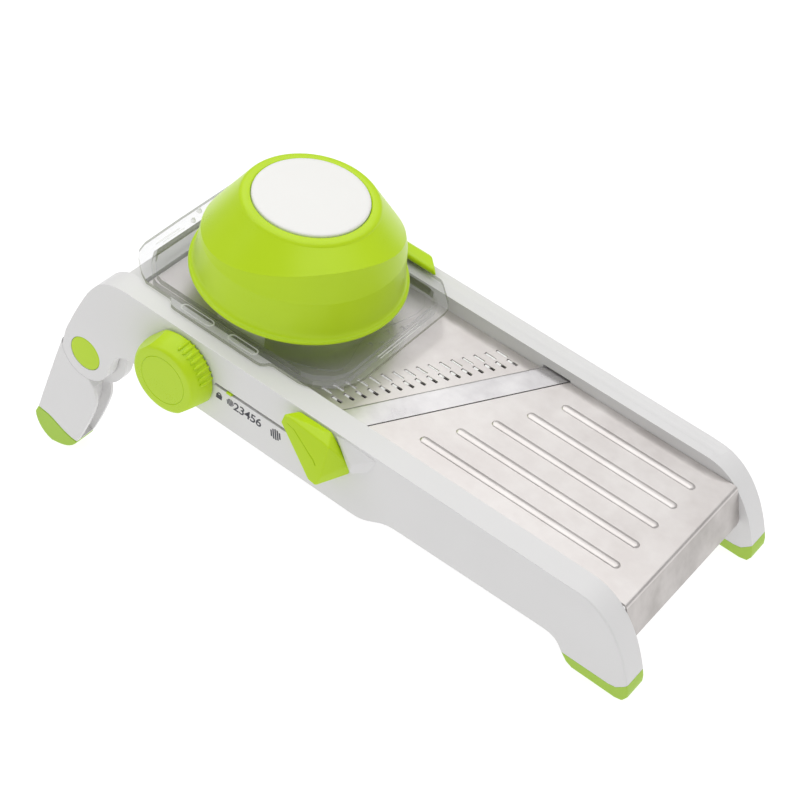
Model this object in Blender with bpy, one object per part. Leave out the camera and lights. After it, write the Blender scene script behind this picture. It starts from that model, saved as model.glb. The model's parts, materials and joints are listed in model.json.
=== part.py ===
"""Adjustable mandoline slicer on a folding stand.

Every piece is laid out in the deck's own frame and hung under one empty that tilts it:
+X runs down the deck to the landing end, +Y to the far side and +Z out of the deck. Zero is
on the centreline, at the end edge of the landing plate, level with its top. Metres.
"""
import math

import bmesh
import bpy
from mathutils import Matrix, Vector

MM = 0.001
GAP = 0.3 * MM              # between pieces that touch
RUN = 0.4 * MM              # between pieces that slide or turn on each other

# Driving dimensions
INNER_WIDTH = 104 * MM      # between the rails
RAIL_WIDTH = 14.2 * MM
RAIL_WALL = 2.5 * MM
RAIL_TOP = 6.1 * MM         # above the deck
DECK_SLOPE = math.radians(14.5)
PLATE_SHEET = 1.2 * MM      # steel sheet of both plates
LIP_DROP = 20.2 * MM        # of the landing plate's end
BLADE_SKEW = 0.541          # run along the deck for each unit across
BLADE_NEAR = -172.5 * MM    # cutting edge at the near rail's inner face
BLADE_RUN = 15.4 * MM       # blade strip, measured along the deck
BLADE_SHEET = 1.2 * MM
RAMP_DROP = 1.6 * MM        # ramp below the deck, the slice's thickness
RAMP_HINGE = (-291 * MM, -7 * MM)
PIVOT = (-315.1 * MM, -51.7 * MM)
LOBE_RADIUS = 16.3 * MM
HUB_RADIUS = 21.5 * MM
CAP_RADIUS = 9.9 * MM
PIN_RADIUS = 4 * MM
LEG_BAR_RADIUS = 5.5 * MM
LEG_WALL = 2 * MM
KNOB = (-253.6 * MM, -18.1 * MM)
KNOB_RADIUS = 22 * MM
KNOB_DEPTH = 13.1 * MM
KNOB_FLAT = 20.6 * MM       # from the axis to each of the two flats, at the rail
KNOB_FLAT_ANGLE = math.radians(140)
KNOB_FACE_RADIUS = 13.5 * MM
SHAFT_RADIUS = 3 * MM
SCREW_WAY = 1.8 * MM        # radius of the holes for 3 mm screws and pins
CAM_RADIUS = 9 * MM
CAM_WIDTH = 6 * MM
CUP_CENTRE = -236.5 * MM
CUP_RIM_RADIUS = 55.8 * MM
CUP_RIM = 17.8 * MM         # above the deck
CUP_HEIGHT = 46.8 * MM
CUP_WALL = 2.3 * MM
CREASE_LOW = 21.5 * MM     # height of the cup's lower crease above its rim
CREASE_RADIUS = 51.6 * MM
THROAT_RADIUS = 42 * MM
THROAT_WALL = 2.5 * MM
THROAT_TOP = 46 * MM
TRAY_SHEET = 2 * MM
TRAY_FLOOR = 2 * MM         # underside of the tray's pan, above the deck
CLIP_LENGTH = 52 * MM
SLOT_PITCH = 5.7 * MM       # between the comb teeth
SLOT_WIDTH = 1.6 * MM
RIB_COUNT = 5

INNER = INNER_WIDTH / 2
OUTER = INNER + RAIL_WIDTH
WIDTH_SHARE = INNER / (52 * MM)     # outlines drawn for a half width of 52 mm are stretched by it
CAM_PLACE = INNER - 12 * MM         # middle of each cam and carrier arm, either side
SLOT_COUNT = int((INNER_WIDTH - 12 * MM) / SLOT_PITCH)
PAD_TOP = -35.6 * MM        # joint line of the front feet
CONTACT = (17.1 * MM, -40.14 * MM)
GREEN = (0.47, 0.72, 0.02, 1)
WHITE = (0.84, 0.84, 0.82, 1)
STEEL = (0.72, 0.68, 0.66, 1)
CLEAR = (0.80, 0.84, 0.76, 1)


def material(name, colour, roughness=0.45, metallic=0.0, alpha=1.0):
    """One plastic or metal, shared by the pieces made of it."""
    made = bpy.data.materials.get(name) or bpy.data.materials.new(name)
    made.use_nodes = True
    shader = made.node_tree.nodes["Principled BSDF"]
    shader.inputs["Base Color"].default_value = colour
    shader.inputs["Roughness"].default_value = roughness
    shader.inputs["Metallic"].default_value = metallic
    shader.inputs["Alpha"].default_value = alpha
    made.diffuse_color = colour
    return made


def mat(kind):
    """The material of one kind."""
    return {
        "green": lambda: material("green_plastic", GREEN, 0.4),
        "pad": lambda: material("green_rubber", GREEN, 0.7),
        "white": lambda: material("white_plastic", WHITE, 0.45),
        "clear": lambda: material("clear_plastic", CLEAR, 0.15, 0.0, 0.4),
        "steel": lambda: material("satin_steel", STEEL, 0.35, 1.0),
        "blade": lambda: material("blade_steel", STEEL, 0.2, 1.0),
        "grey": lambda: material("grey_plastic", (0.35, 0.35, 0.36, 1), 0.5),
    }[kind]()


def add(name, mesh_data, kind, deck):
    """Put a bmesh into the scene as one named piece hung under the deck's empty."""
    mesh = bpy.data.meshes.new(name)
    bmesh.ops.recalc_face_normals(mesh_data, faces=mesh_data.faces)
    mesh_data.to_mesh(mesh)
    mesh_data.free()
    piece = bpy.data.objects.new(name, mesh)
    bpy.context.collection.objects.link(piece)
    piece.parent = deck
    if kind:
        mesh.materials.append(mat(kind))
    return piece


def set_axis(piece, point):
    """Move the piece's origin to a point of the deck frame and leave its shape in place."""
    piece.data.transform(Matrix.Translation(-Vector(point)))
    piece.location = point


def prism(name, outline, low, high, kind, deck, axis="Y"):
    """A flat outline extruded across the deck (Y) or out of it (Z)."""
    mesh_data = bmesh.new()
    if axis == "Y":
        ring = [mesh_data.verts.new((x, low, z)) for x, z in outline]
        step = Vector((0, high - low, 0))
    else:
        ring = [mesh_data.verts.new((x, y, low)) for x, y in outline]
        step = Vector((0, 0, high - low))
    face = mesh_data.faces.new(ring)
    grown = bmesh.ops.extrude_face_region(mesh_data, geom=[face])["geom"]
    moved = [item for item in grown if isinstance(item, bmesh.types.BMVert)]
    bmesh.ops.translate(mesh_data, verts=moved, vec=step)
    return add(name, mesh_data, kind, deck)


def block(name, x, y, z, kind, deck):
    """A box from its spans along the three axes."""
    outline = [(x[0], z[0]), (x[1], z[0]), (x[1], z[1]), (x[0], z[1])]
    return prism(name, outline, y[0], y[1], kind, deck)


def edge_line(y):
    """The cutting edge's place along the deck, at a place across it."""
    return BLADE_NEAR + BLADE_SKEW * (y + INNER)


def skew_prism(name, section, low, high, kind, deck):
    """A section (distance behind the cutting edge, height) swept across along the blade."""
    mesh_data = bmesh.new()
    ends = []
    for y in (low, high):
        ends.append([mesh_data.verts.new((edge_line(y) + a, y, w)) for a, w in section])
    mesh_data.faces.new(ends[0])
    mesh_data.faces.new(list(reversed(ends[1])))
    for i in range(len(section)):
        j = (i + 1) % len(section)
        mesh_data.faces.new((ends[0][i], ends[1][i], ends[1][j], ends[0][j]))
    return add(name, mesh_data, kind, deck)


def skew_block(name, a, y, w, kind, deck):
    """A skewed box: span behind the cutting edge, span across, span in height."""
    section = [(a[0], w[0]), (a[1], w[0]), (a[1], w[1]), (a[0], w[1])]
    return skew_prism(name, section, y[0], y[1], kind, deck)


def turned(name, profile, centre, axis, kind, deck, segments=32):
    """A profile (radius, along the axis) turned about an axis through the centre."""
    mesh_data = bmesh.new()
    verts = [mesh_data.verts.new((r, 0, h)) for r, h in profile]
    edges = [mesh_data.edges.new((verts[i], verts[i + 1])) for i in range(len(verts) - 1)]
    if profile[0][0] > 0:
        edges.append(mesh_data.edges.new((verts[-1], verts[0])))
    bmesh.ops.spin(mesh_data, geom=verts + edges, cent=(0, 0, 0), axis=(0, 0, 1),
                   angle=2 * math.pi, steps=segments, use_merge=True)
    bmesh.ops.remove_doubles(mesh_data, verts=mesh_data.verts, dist=0.00001)
    turn = {"Z": Matrix(), "Y": Matrix.Rotation(-math.pi / 2, 4, "X")}[axis]
    bmesh.ops.transform(mesh_data, verts=mesh_data.verts, matrix=Matrix.Translation(centre) @ turn)
    piece = add(name, mesh_data, kind, deck)
    piece.data.shade_smooth()
    piece.data.set_sharp_from_angle(angle=math.radians(35))
    return piece


def rod(name, x, z, radius, y, kind, deck, segments=24):
    """A round bar across the deck."""
    length = y[1] - y[0]
    profile = [(0, 0), (radius, 0), (radius, length), (0, length)]
    return turned(name, profile, (x, y[0], z), "Y", kind, deck, segments)


def combine(piece, other, how):
    """Cut the piece with the other solid, or join that solid to it."""
    change = piece.modifiers.new(how.lower(), "BOOLEAN")
    change.operation = how
    change.solver = "EXACT"
    change.object = other
    other.hide_render = True
    other.display_type = "WIRE"


def cut(piece, *cutters):
    """Take the cutters out of the piece."""
    for cutter in cutters:
        combine(piece, cutter, "DIFFERENCE")


def join(piece, *others):
    """Join the other solids to the piece."""
    for other in others:
        combine(piece, other, "UNION")


def mm(points, across=1.0):
    """A list of points given in millimetres, the second number stretched."""
    return [(a * MM, b * MM * across) for a, b in points]


def hull(name, points, kind, deck):
    """The flat-faced block that wraps a set of points."""
    mesh_data = bmesh.new()
    for point in points:
        mesh_data.verts.new(point)
    bmesh.ops.convex_hull(mesh_data, input=mesh_data.verts)
    loose = [vertex for vertex in mesh_data.verts if not vertex.link_faces]
    bmesh.ops.delete(mesh_data, geom=loose, context="VERTS")
    return add(name, mesh_data, kind, deck)


def curve(start, lead, trail, end, count):
    """Points along a cubic Bezier curve, the start left out."""
    points = []
    for i in range(1, count + 1):
        t = i / count
        s = 1 - t
        parts = (s ** 3, 3 * s * s * t, 3 * s * t * t, t ** 3)
        points.append(tuple(
            sum(part * point[k] for part, point in zip(parts, (start, lead, trail, end)))
            for k in range(2)
        ))
    return points


def arc(centre, radius, start, stop, count):
    """Points on an arc, angles in degrees from +X towards +Z."""
    points = []
    for i in range(count + 1):
        angle = math.radians(start + (stop - start) * i / count)
        points.append((centre[0] + radius * math.cos(angle), centre[1] + radius * math.sin(angle)))
    return points


def rail_outline():
    """The rail's side view: flat top, falling front end, stepped underside, pivot lobe."""
    top = RAIL_TOP / MM
    pad = PAD_TOP / MM
    front = [(-20.8, top)] + curve((-20.8, top), (-4.84, top), (8.14, -7.53), (16.86, -29.47), 8)
    under = [(15.7, -31), (12.3, -34.6), (8, pad), (-18.6, pad)]
    under += curve((-18.6, pad), (-22, -31), (-24, -28.6), (-32, -28.6), 3)
    under += [(-117, -29.9)]
    under += curve((-117, -29.9), (-128, -30.5), (-131, -38), (-141, -38), 5)
    under += [(-285, -36.4)]
    under += curve((-285, -36.4), (-296, -38), (-297.6, -46), (-298.8, -51.7), 3)
    lobe = [(x / MM, z / MM) for x, z in arc(PIVOT, LOBE_RADIUS, -4, -166, 10)]
    back = [(-329.3, -44.5), (-326.8, -35.9), (-323, -24), (-316.5, -10.5)]
    back += curve((-316.5, -10.5), (-310, 1.5), (-305, top), (-289, top), 5)
    return mm(front + under + lobe + back)


def rail_hollow():
    """The moulded hollow of a rail, open below."""
    roof = (RAIL_TOP - RAIL_WALL) / MM
    return mm([(-282, -60), (-282, roof), (-20, roof), (-6, -4), (3, -16), (6, -26), (-20, -26),
               (-20, -60)])


def side_rail(name, side, bores, deck, extra=()):
    """One hollow rail; side is -1 for the near one and +1 for the far one."""
    inner, outer = side * INNER, side * OUTER
    rail = prism(name, rail_outline(), min(inner, outer), max(inner, outer), "white", deck)
    wall = [side * (INNER + RAIL_WALL), side * (OUTER - RAIL_WALL)]
    past = side * (INNER - 1 * MM)
    hollow = prism(name + "_hollow", rail_hollow(), min(wall), max(wall), None, deck)
    hinge = rod(name + "_hinge_hole", *RAMP_HINGE, SCREW_WAY, sorted((past, side * (INNER + 3 * MM))),
                None, deck, 16)
    pivot = pivot_room(name + "_pivot_room", side, deck)
    join(rail, *extra)
    cut(rail, hollow, hinge, *bores)
    cut(rail, pivot)
    return rail


def pivot_room(name, side, deck):
    """Stepped bore through the lobe: room for the leg's hub, the pin and its cap."""
    hub = HUB_RADIUS + RUN
    hole = PIN_RADIUS + GAP
    seat = CAP_RADIUS + GAP
    inside, middle = INNER - MM, INNER + RAIL_WIDTH / 2
    seat_floor, outside = OUTER - 4.2 * MM, OUTER + MM
    profile = [(0, inside), (hub, inside), (hub, middle), (hole, middle), (hole, seat_floor),
               (seat, seat_floor), (seat, outside), (0, outside)]
    if side < 0:
        profile = [(r, -y) for r, y in reversed(profile)]
    return turned(name, profile, (PIVOT[0], 0, PIVOT[1]), "Y", None, deck, 32)


def rails(deck):
    """Both rails with what passes through them."""
    shaft = SHAFT_RADIUS + RUN
    near_bore = rod("near_shaft_hole", *KNOB, shaft, (-OUTER - MM, -INNER + MM), None, deck)
    far_bore = rod("far_shaft_hole", *KNOB, shaft, (INNER - MM, INNER + RAIL_WALL + MM), None, deck)
    room = (-5.6 * MM, 0.8 * MM)
    blade_slot = skew_block("blade_slot", (-1 * MM, BLADE_RUN + MM), (-OUTER - 3 * MM, -INNER + 2 * MM),
                            room, None, deck)
    pocket = skew_block("blade_pocket", (-1 * MM, BLADE_RUN + MM), (INNER - MM, INNER + RAIL_WALL + MM),
                        room, None, deck)
    near_bores = (near_bore, blade_slot, pointer_slot(deck))
    near = side_rail("near_side_rail", -1, near_bores, deck, (guard(deck),))
    far = side_rail("far_side_rail", 1, (far_bore, pocket), deck)
    return near, far


def guard(deck):
    """The wedge on the near rail that shields the blade's end, just in front of its handle."""
    wall = OUTER - 1 * MM
    at = edge_line(-OUTER) / MM
    face = [(19.8, 0.4, 5.4), (45, 0.4, 4.3), (34.9, 4.4, -3), (43.8, 1.2, 3.9), (35.4, 3.9, -9.2),
            (42.6, 0.4, -4.6), (43.2, 0.4, -6)]
    points = [((at + a) * MM, -OUTER - out * MM, w * MM) for a, out, w in face]
    points += [((at + a) * MM, -wall, w * MM) for a, w in ((20.2, 4.8), (45.5, 3), (36, -10), (43.4, -7))]
    return hull("blade_guard", points, None, deck)


def pointer_slot(deck):
    """The slot that the scale's pointer runs in."""
    return block("pointer_slot", (-231.6 * MM, -186 * MM), (-OUTER - MM, -OUTER + RAIL_WALL + 0.5 * MM),
                 (-14.5 * MM, -12.9 * MM), None, deck)


def crossbars(deck):
    """The bars that tie the rails, under the deck."""
    span = (-INNER + GAP, INNER - GAP)
    rear = block("rear_crossbar", (-306 * MM, -297 * MM), span, (-22 * MM, -1 * MM), "white", deck)
    front = block("front_crossbar", (-16 * MM, -6 * MM), span, (-15 * MM, -PLATE_SHEET - GAP), "white", deck)
    top = -PLATE_SHEET - GAP
    seat = -5.3 * MM
    section = [(4 * MM, -12 * MM), (24 * MM, -12 * MM), (24 * MM, top), (BLADE_RUN + 0.4 * MM, top),
               (BLADE_RUN + 0.4 * MM, seat), (4 * MM, seat)]
    bed = skew_prism("blade_bed", section, span[0], span[1], "white", deck)
    for side, word in ((-1, "near"), (1, "far")):
        place = (-11 * MM, side * (INNER - 16 * MM), 0)
        room = mm([(0, -16), (1.8, -16), (1.8, -3.5), (0, -3.5)])
        cut(front, turned(word + "_screw_hole", room, place, "Z", None, deck, 16))
        screw = mm([(0, -17), (3, -17), (3, -15.3), (1.5, -15.3), (1.5, -4), (0, -4)])
        turned(word + "_plate_screw", screw, place, "Z", "steel", deck, 16)
    return rear, front, bed


def landing_plate(deck):
    """Steel sheet behind the blade, its end bent down and five low ribs pressed up."""
    bend = 3 * MM
    lean = 7.2 * MM
    rear = edge_line(-INNER) - 6 * MM
    top = [(rear, 0), (-bend, 0)]
    turn = arc((-bend, -bend), bend, 90, 20, 4)
    lip = [(lean - 0.6 * MM, -LIP_DROP)]
    outer = top + turn[1:] + lip
    inner = [(lean - 0.6 * MM - PLATE_SHEET, -LIP_DROP)]
    inner += [(x, z) for x, z in reversed(arc((-bend, -bend), bend - PLATE_SHEET, 90, 20, 4))]
    inner += [(rear, -PLATE_SHEET)]
    side = INNER - GAP
    plate = prism("landing_plate", outer + inner, -side, side, "steel", deck)
    behind = skew_block("plate_trim", (-300 * MM, BLADE_RUN + 0.7 * MM), (-INNER - MM, INNER + MM),
                        (-4 * MM, 4 * MM), None, deck)
    cut(plate, behind)
    pitch = INNER_WIDTH / 6.03
    for i in range(RIB_COUNT):
        y = pitch * (i - (RIB_COUNT - 1) / 2) + 0.2 * MM
        start = edge_line(y) + 34.4 * MM
        join(plate, rib("plate_rib_%d" % (i + 1), start, -16.5 * MM, y, deck))
    return plate


def rib(name, start, stop, y, deck):
    """A low round-ended rib that stands on the plate."""
    half = 2.6 * MM
    height = 1.0 * MM
    mesh_data = bmesh.new()
    rings = []
    for share, level in ((1.0, -0.5 * MM), (1.0, 0.15 * MM), (0.45, height)):
        ring = []
        for cx, base in ((stop, -90), (start, 90)):
            for i in range(7):
                angle = math.radians(base + 30 * i)
                ring.append(mesh_data.verts.new((cx + share * half * math.cos(angle),
                                                 y + share * half * math.sin(angle), level)))
        rings.append(ring)
    for lower, upper in zip(rings, rings[1:]):
        for i in range(len(lower)):
            j = (i + 1) % len(lower)
            mesh_data.faces.new((lower[i], lower[j], upper[j], upper[i]))
    mesh_data.faces.new(list(reversed(rings[0])))
    mesh_data.faces.new(rings[-1])
    return add(name, mesh_data, None, deck)


def front_feet(deck):
    """Soft pads under the front ends, flat where they meet the table."""
    outline = mm([(-18.4, -35.9), (8.1, -35.9), (12.55, -34.85), (16.05, -31.05), (17.05, -29.75),
                  (18.2, -33.4), (18.7, -37)])
    outline += [CONTACT, (CONTACT[0] - 4.1 * MM, CONTACT[1] - 4.1 * MM * math.tan(DECK_SLOPE))]
    outline += mm([(-11, -40.9), (-15.6, -38.9)])
    for word, side in (("near", -1), ("far", 1)):
        span = sorted((side * INNER, side * OUTER))
        prism(word + "_front_foot", outline, span[0], span[1], "pad", deck)


def ground_line(x):
    """Height of the table in the deck frame, under a place along the deck."""
    return CONTACT[1] + (x - CONTACT[0]) * math.tan(DECK_SLOPE)


def leg_outline():
    """Side view of a leg arm, down to its pad."""
    front = [(-311.9, -67.9), (-307.6, -72.4), (-305.4, -79), (-306.2, -87), (-309.5, -100),
             (-313.8, -112.4), (-316.6, -119.3)]
    pad = [(-328.5, -117.9), (-340, -113), (-345.4, -112.4)]
    rear = [(-342.5, -96.7), (-338.3, -80), (-334.2, -64), (-331.5, -51.7), (-315, -50)]
    return mm(front + pad + rear)


def pad_outline():
    """Side view of the rocker pad under a leg arm."""
    top = [(-345.5, -112.9), (-340.1, -113.4), (-328.7, -118.3), (-316.7, -119.8)]
    front = [(-317.4, -121.6), (-321.8, -126.4)]
    flat = [(x, ground_line(x * MM) / MM) for x in (-328, -334)]
    back = [(-340.4, -129.2), (-345, -124.4), (-347.3, -117.6)]
    return mm(top + front + flat + back)


def leg_arm(name, side, deck):
    """One arm of the folding leg with the hub that turns inside the rail."""
    outer, inner = side * OUTER, side * (INNER + GAP)
    middle = side * (INNER + RAIL_WIDTH / 2 - GAP)
    arm = prism(name, leg_outline(), min(outer, inner), max(outer, inner), "white", deck)
    hub_span = sorted((inner, middle - side * 0.2 * MM))
    hub = rod(name + "_hub", *PIVOT, HUB_RADIUS, hub_span, None, deck, 36)
    back = mm([(-350, -14), (-317.4, -14), (-322.2, -25), (-327.4, -40), (-330.3, -50), (-333.2, -63),
               (-350, -63)])
    cut(hub, prism(name + "_hub_trim", back, *sorted((inner * 0.9, outer)), None, deck))
    room = rod(name + "_lobe_room", *PIVOT, LOBE_RADIUS + RUN, sorted((middle, outer * 1.1)), None, deck, 40)
    cut(arm, room)
    join(arm, hub)
    front = mm([(-300, -71), (-312, -72.5), (-311.5, -82), (-313, -92), (-317.5, -106), (-322, -115),
                (-300, -123)])
    walls = sorted((inner + side * LEG_WALL, outer - side * LEG_WALL))
    cut(arm, prism(name + "_hollow", front, *walls, None, deck))
    return arm


def leg(deck):
    """The folding leg: two arms and a bar, one moulding, with two pads."""
    arm = leg_arm("folding_leg", -1, deck)
    other = leg_arm("far_leg_arm", 1, deck)
    bar = rod("leg_bar", -322.4 * MM, -80 * MM, LEG_BAR_RADIUS, (-INNER - 2 * MM, INNER + 2 * MM), None,
              deck, 16)
    hole = rod("leg_pin_hole", *PIVOT, PIN_RADIUS + GAP, (-OUTER, OUTER), None, deck)
    join(arm, bar, other)
    cut(arm, hole)
    for word, side in (("near", -1), ("far", 1)):
        span = sorted((side * (INNER + GAP), side * OUTER))
        prism(word + "_leg_pad", pad_outline(), span[0], span[1], "pad", deck)
        pin = sorted((side * (INNER + MM), side * (OUTER - 3 * MM)))
        shank = rod(word + "_pivot_pin", *PIVOT, PIN_RADIUS, pin, "steel", deck)
        head = sorted((side * (OUTER - 3.9 * MM), side * (OUTER - 2.4 * MM)))
        join(shank, rod(word + "_pin_head", *PIVOT, 7 * MM, head, None, deck))
        cap = sorted((side * (OUTER - 2 * MM), side * OUTER))
        rod(word + "_pivot_cap", *PIVOT, CAP_RADIUS, cap, "green", deck, 32)


def snail(name, y, deck):
    """A cam whose radius falls as it turns, so that the ramp sinks evenly."""
    slope = 0.00043
    mesh_data = bmesh.new()
    steps = 32
    ring = []
    for i in range(steps):
        angle = 360.0 * i / steps
        turned_by = 360.0 - angle if angle > 70 else -angle
        radius = CAM_RADIUS - math.radians(turned_by) * slope
        bearing = math.radians(angle)
        ring.append(mesh_data.verts.new((KNOB[0] + radius * math.sin(bearing), y[0],
                                         KNOB[1] + radius * math.cos(bearing))))
    face = mesh_data.faces.new(ring)
    grown = bmesh.ops.extrude_face_region(mesh_data, geom=[face])["geom"]
    moved = [item for item in grown if isinstance(item, bmesh.types.BMVert)]
    bmesh.ops.translate(mesh_data, verts=moved, vec=(0, y[1] - y[0], 0))
    return add(name, mesh_data, "grey", deck)


def knob_flat(name, angle, deck):
    """Cutter for one of the knob's flats, which lean inwards away from the rail."""
    lean = 2 * MM / KNOB_DEPTH
    aside = Vector((math.cos(angle), 0, math.sin(angle)))
    along = Vector((-math.sin(angle), 0, math.cos(angle)))
    points = []
    for out in (-2 * MM, KNOB_DEPTH + 2 * MM):
        middle = Vector((KNOB[0], -OUTER - GAP - out, KNOB[1]))
        flat = KNOB_FLAT - lean * out
        for far in (flat, KNOB_RADIUS + 4 * MM):
            points += [middle + aside * far + along * reach for reach in (-KNOB_RADIUS, KNOB_RADIUS)]
    return hull(name, points, None, deck)


def adjuster(deck):
    """Thickness knob, its shaft across the frame and the two cams under the ramp."""
    face = -OUTER - GAP
    front = face - KNOB_DEPTH
    disc = (front, front + 1.3 * MM)
    head = (front + 2 * MM, front + 4 * MM)
    head_radius = 3.2 * MM
    shaft_end = face - KNOB_DEPTH / 2 + 0.9 * MM
    seat = disc[1] + GAP
    pocket = head[1] + GAP
    room = head_radius + 2 * GAP
    bore = SHAFT_RADIUS + GAP
    profile = [(SCREW_WAY, pocket), (room, pocket), (room, seat), (KNOB_FACE_RADIUS + GAP, seat),
               (KNOB_FACE_RADIUS + GAP, front), (KNOB_RADIUS - 4.4 * MM, front),
               (KNOB_RADIUS - 2.8 * MM, front + 0.6 * MM), (KNOB_RADIUS - 1.2 * MM, front + 4 * MM),
               (KNOB_RADIUS, face - 2.4 * MM), (KNOB_RADIUS - 1 * MM, face), (bore, face),
               (bore, shaft_end - GAP), (SCREW_WAY, shaft_end - GAP)]
    knob = turned("thickness_knob", profile, (KNOB[0], 0, KNOB[1]), "Y", "green", deck, 48)
    cut(knob, knob_flat("upper_flat", KNOB_FLAT_ANGLE, deck))
    cut(knob, knob_flat("lower_flat", KNOB_FLAT_ANGLE + math.pi, deck))
    rod("knob_face", *KNOB, KNOB_FACE_RADIUS, disc, "green", deck, 32)
    shaft = rod("adjuster_shaft", *KNOB, SHAFT_RADIUS, (shaft_end, INNER + RAIL_WALL), "steel", deck)
    tapped = (shaft_end - MM, shaft_end + 7 * MM)
    cut(shaft, rod("shaft_tapping", *KNOB, SCREW_WAY, tapped, None, deck, 16))
    shank = (head[1] - 0.5 * MM, shaft_end + 6 * MM)
    screw = rod("knob_screw", *KNOB, 1.5 * MM, shank, "steel", deck, 16)
    join(screw, rod("knob_screw_head", *KNOB, head_radius, head, None, deck, 16))
    for word, side in (("near", -1), ("far", 1)):
        middle = side * CAM_PLACE
        cam = snail(word + "_cam", (middle - CAM_WIDTH / 2, middle + CAM_WIDTH / 2), deck)
        span = (middle - CAM_WIDTH, middle + CAM_WIDTH)
        cut(cam, rod(word + "_cam_bore", *KNOB, SHAFT_RADIUS + GAP, span, None, deck))
    return knob


def scale_pointer(deck):
    """Green tab that runs in the scale slot, with a wide foot behind the wall."""
    stem = block("scale_pointer", (-223.6 * MM, -220.4 * MM), (-OUTER - 0.9 * MM, -OUTER + 4 * MM),
                 (-14.2 * MM, -13.2 * MM), "green", deck)
    foot = block("pointer_foot", (-226 * MM, -218 * MM),
                 (-OUTER + RAIL_WALL + RUN, -OUTER + RAIL_WALL + 2 * MM),
                 (-17 * MM, -10.4 * MM), None, deck)
    join(stem, foot)
    return stem


def slot_row(name, row, trim, deck, w, thick):
    """A row of equal bars along the deck, stepped across it beside the cutting edge."""
    mesh_data = bmesh.new()
    count = row["count"]
    a = (row["a"][0] + trim, row["a"][1] - trim)
    y0 = row["middle"] - SLOT_PITCH * (count - 1) / 2
    for i in range(count):
        y = y0 + SLOT_PITCH * i
        low = Vector((edge_line(y) + a[0], y - thick / 2, w[0]))
        high = Vector((edge_line(y) + a[1], y + thick / 2, w[1]))
        size = high - low
        place = Matrix.Translation((low + high) / 2) @ Matrix.Diagonal((*size, 1))
        bmesh.ops.create_cube(mesh_data, size=1.0, matrix=place)
    return add(name, mesh_data, None, deck)


REAR_ROW = {"a": (-19.6 * MM, -13.1 * MM), "middle": -0.4 * MM, "count": SLOT_COUNT + 1}
FRONT_ROW = {"a": (-11.1 * MM, -5.2 * MM), "middle": 1 * MM, "count": SLOT_COUNT}


def ramp(deck):
    """Hinged upper plate with two rows of comb slots, its carrier and hinge pin."""
    side = INNER - 0.6 * MM
    lip = -0.6 * MM
    outline = [(-295 * MM, -side), (edge_line(-side) + lip, -side), (edge_line(side) + lip, side),
               (-295 * MM, side)]
    top = -RAMP_DROP
    plate = prism("ramp_plate", outline, top - PLATE_SHEET, top, "steel", deck, "Z")
    for word, row in (("rear", REAR_ROW), ("front", FRONT_ROW)):
        cut(plate, slot_row(word + "_slots", row, 0, deck, (top - 3 * MM, top + MM), SLOT_WIDTH))
    under = top - PLATE_SHEET - GAP
    arms = [block("carrier_arm_%d" % i, (-296 * MM, -200 * MM), (y - 3.5 * MM, y + 3.5 * MM),
                  (-8.2 * MM, under), None, deck) for i, y in enumerate((-CAM_PLACE, CAM_PLACE))]
    carrier = block("ramp_carrier", (-296 * MM, -284 * MM), (-side, side), (-10 * MM, under), "white", deck)
    join(carrier, *arms)
    cut(carrier, rod("hinge_bore", *RAMP_HINGE, SCREW_WAY, (-INNER, INNER), None, deck, 16))
    rod("ramp_hinge_pin", *RAMP_HINGE, 1.5 * MM, (-INNER - 2.4 * MM, INNER + 2.4 * MM), "steel", deck, 16)
    return plate


def comb(name, row, deck):
    """A skewed strip that carries one row of upright slicing teeth."""
    a0, a1 = row["a"]
    half = SLOT_PITCH * row["count"] / 2
    span = (row["middle"] - half, row["middle"] + half)
    strip = skew_block(name, (a0 + 0.8 * MM, a1 - 0.8 * MM), span, (-13 * MM, -9.5 * MM), "blade", deck)
    teeth = slot_row(name + "_teeth", row, 0.4 * MM, deck, (-10.5 * MM, -RAMP_DROP - 0.4 * MM),
                     SLOT_WIDTH / 2)
    join(strip, teeth)
    return strip


def blade(deck):
    """Skewed blade on its holder, drawn out of the near rail by the green handle."""
    edge = [(0, -0.5 * MM), (1.6 * MM, 0), (BLADE_RUN, 0), (BLADE_RUN, -BLADE_SHEET), (3 * MM, -BLADE_SHEET)]
    near, far = -OUTER - 3 * MM, INNER + RAIL_WALL
    skew_prism("main_blade", edge, near, far, "blade", deck)
    grip = (3.4 * MM, BLADE_RUN - 0.4 * MM)
    keel = -4.9 * MM
    holder = skew_block("blade_holder", grip, (near, far), (keel, -BLADE_SHEET - GAP), "grey", deck)
    at = edge_line(-OUTER) / MM
    back = [(-0.4, 0.3, 4.8), (19.4, 0.3, 5), (32.7, 0.3, -7.6), (33.3, 0.3, -13.3), (20.2, 0.3, -24),
            (-1.8, 0.3, -4)]
    outer = [(-4.3, 7.3, 5), (-5.4, 7.8, -0.9), (18.7, 13.8, -18), (23.7, 14.1, -18.6), (25.4, 13.1, -12),
             (25, 11.8, -9.4), (23.2, 6.8, 2.5), (16.7, 3.8, 5.8)]
    points = [((at + a) * MM, -OUTER - out * MM, w * MM) for a, out, w in back + outer]
    handle = hull("blade_handle", points, "green", deck)
    blade_room = skew_block("blade_socket", (-GAP, BLADE_RUN + GAP), (near - GAP, -OUTER + MM),
                            (-BLADE_SHEET - GAP, GAP), None, deck)
    holder_room = skew_block("holder_socket", (grip[0] - GAP, grip[1] + GAP), (near - GAP, -OUTER + MM),
                             (keel - GAP, -BLADE_SHEET), None, deck)
    cut(handle, blade_room, holder_room)
    return holder


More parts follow.
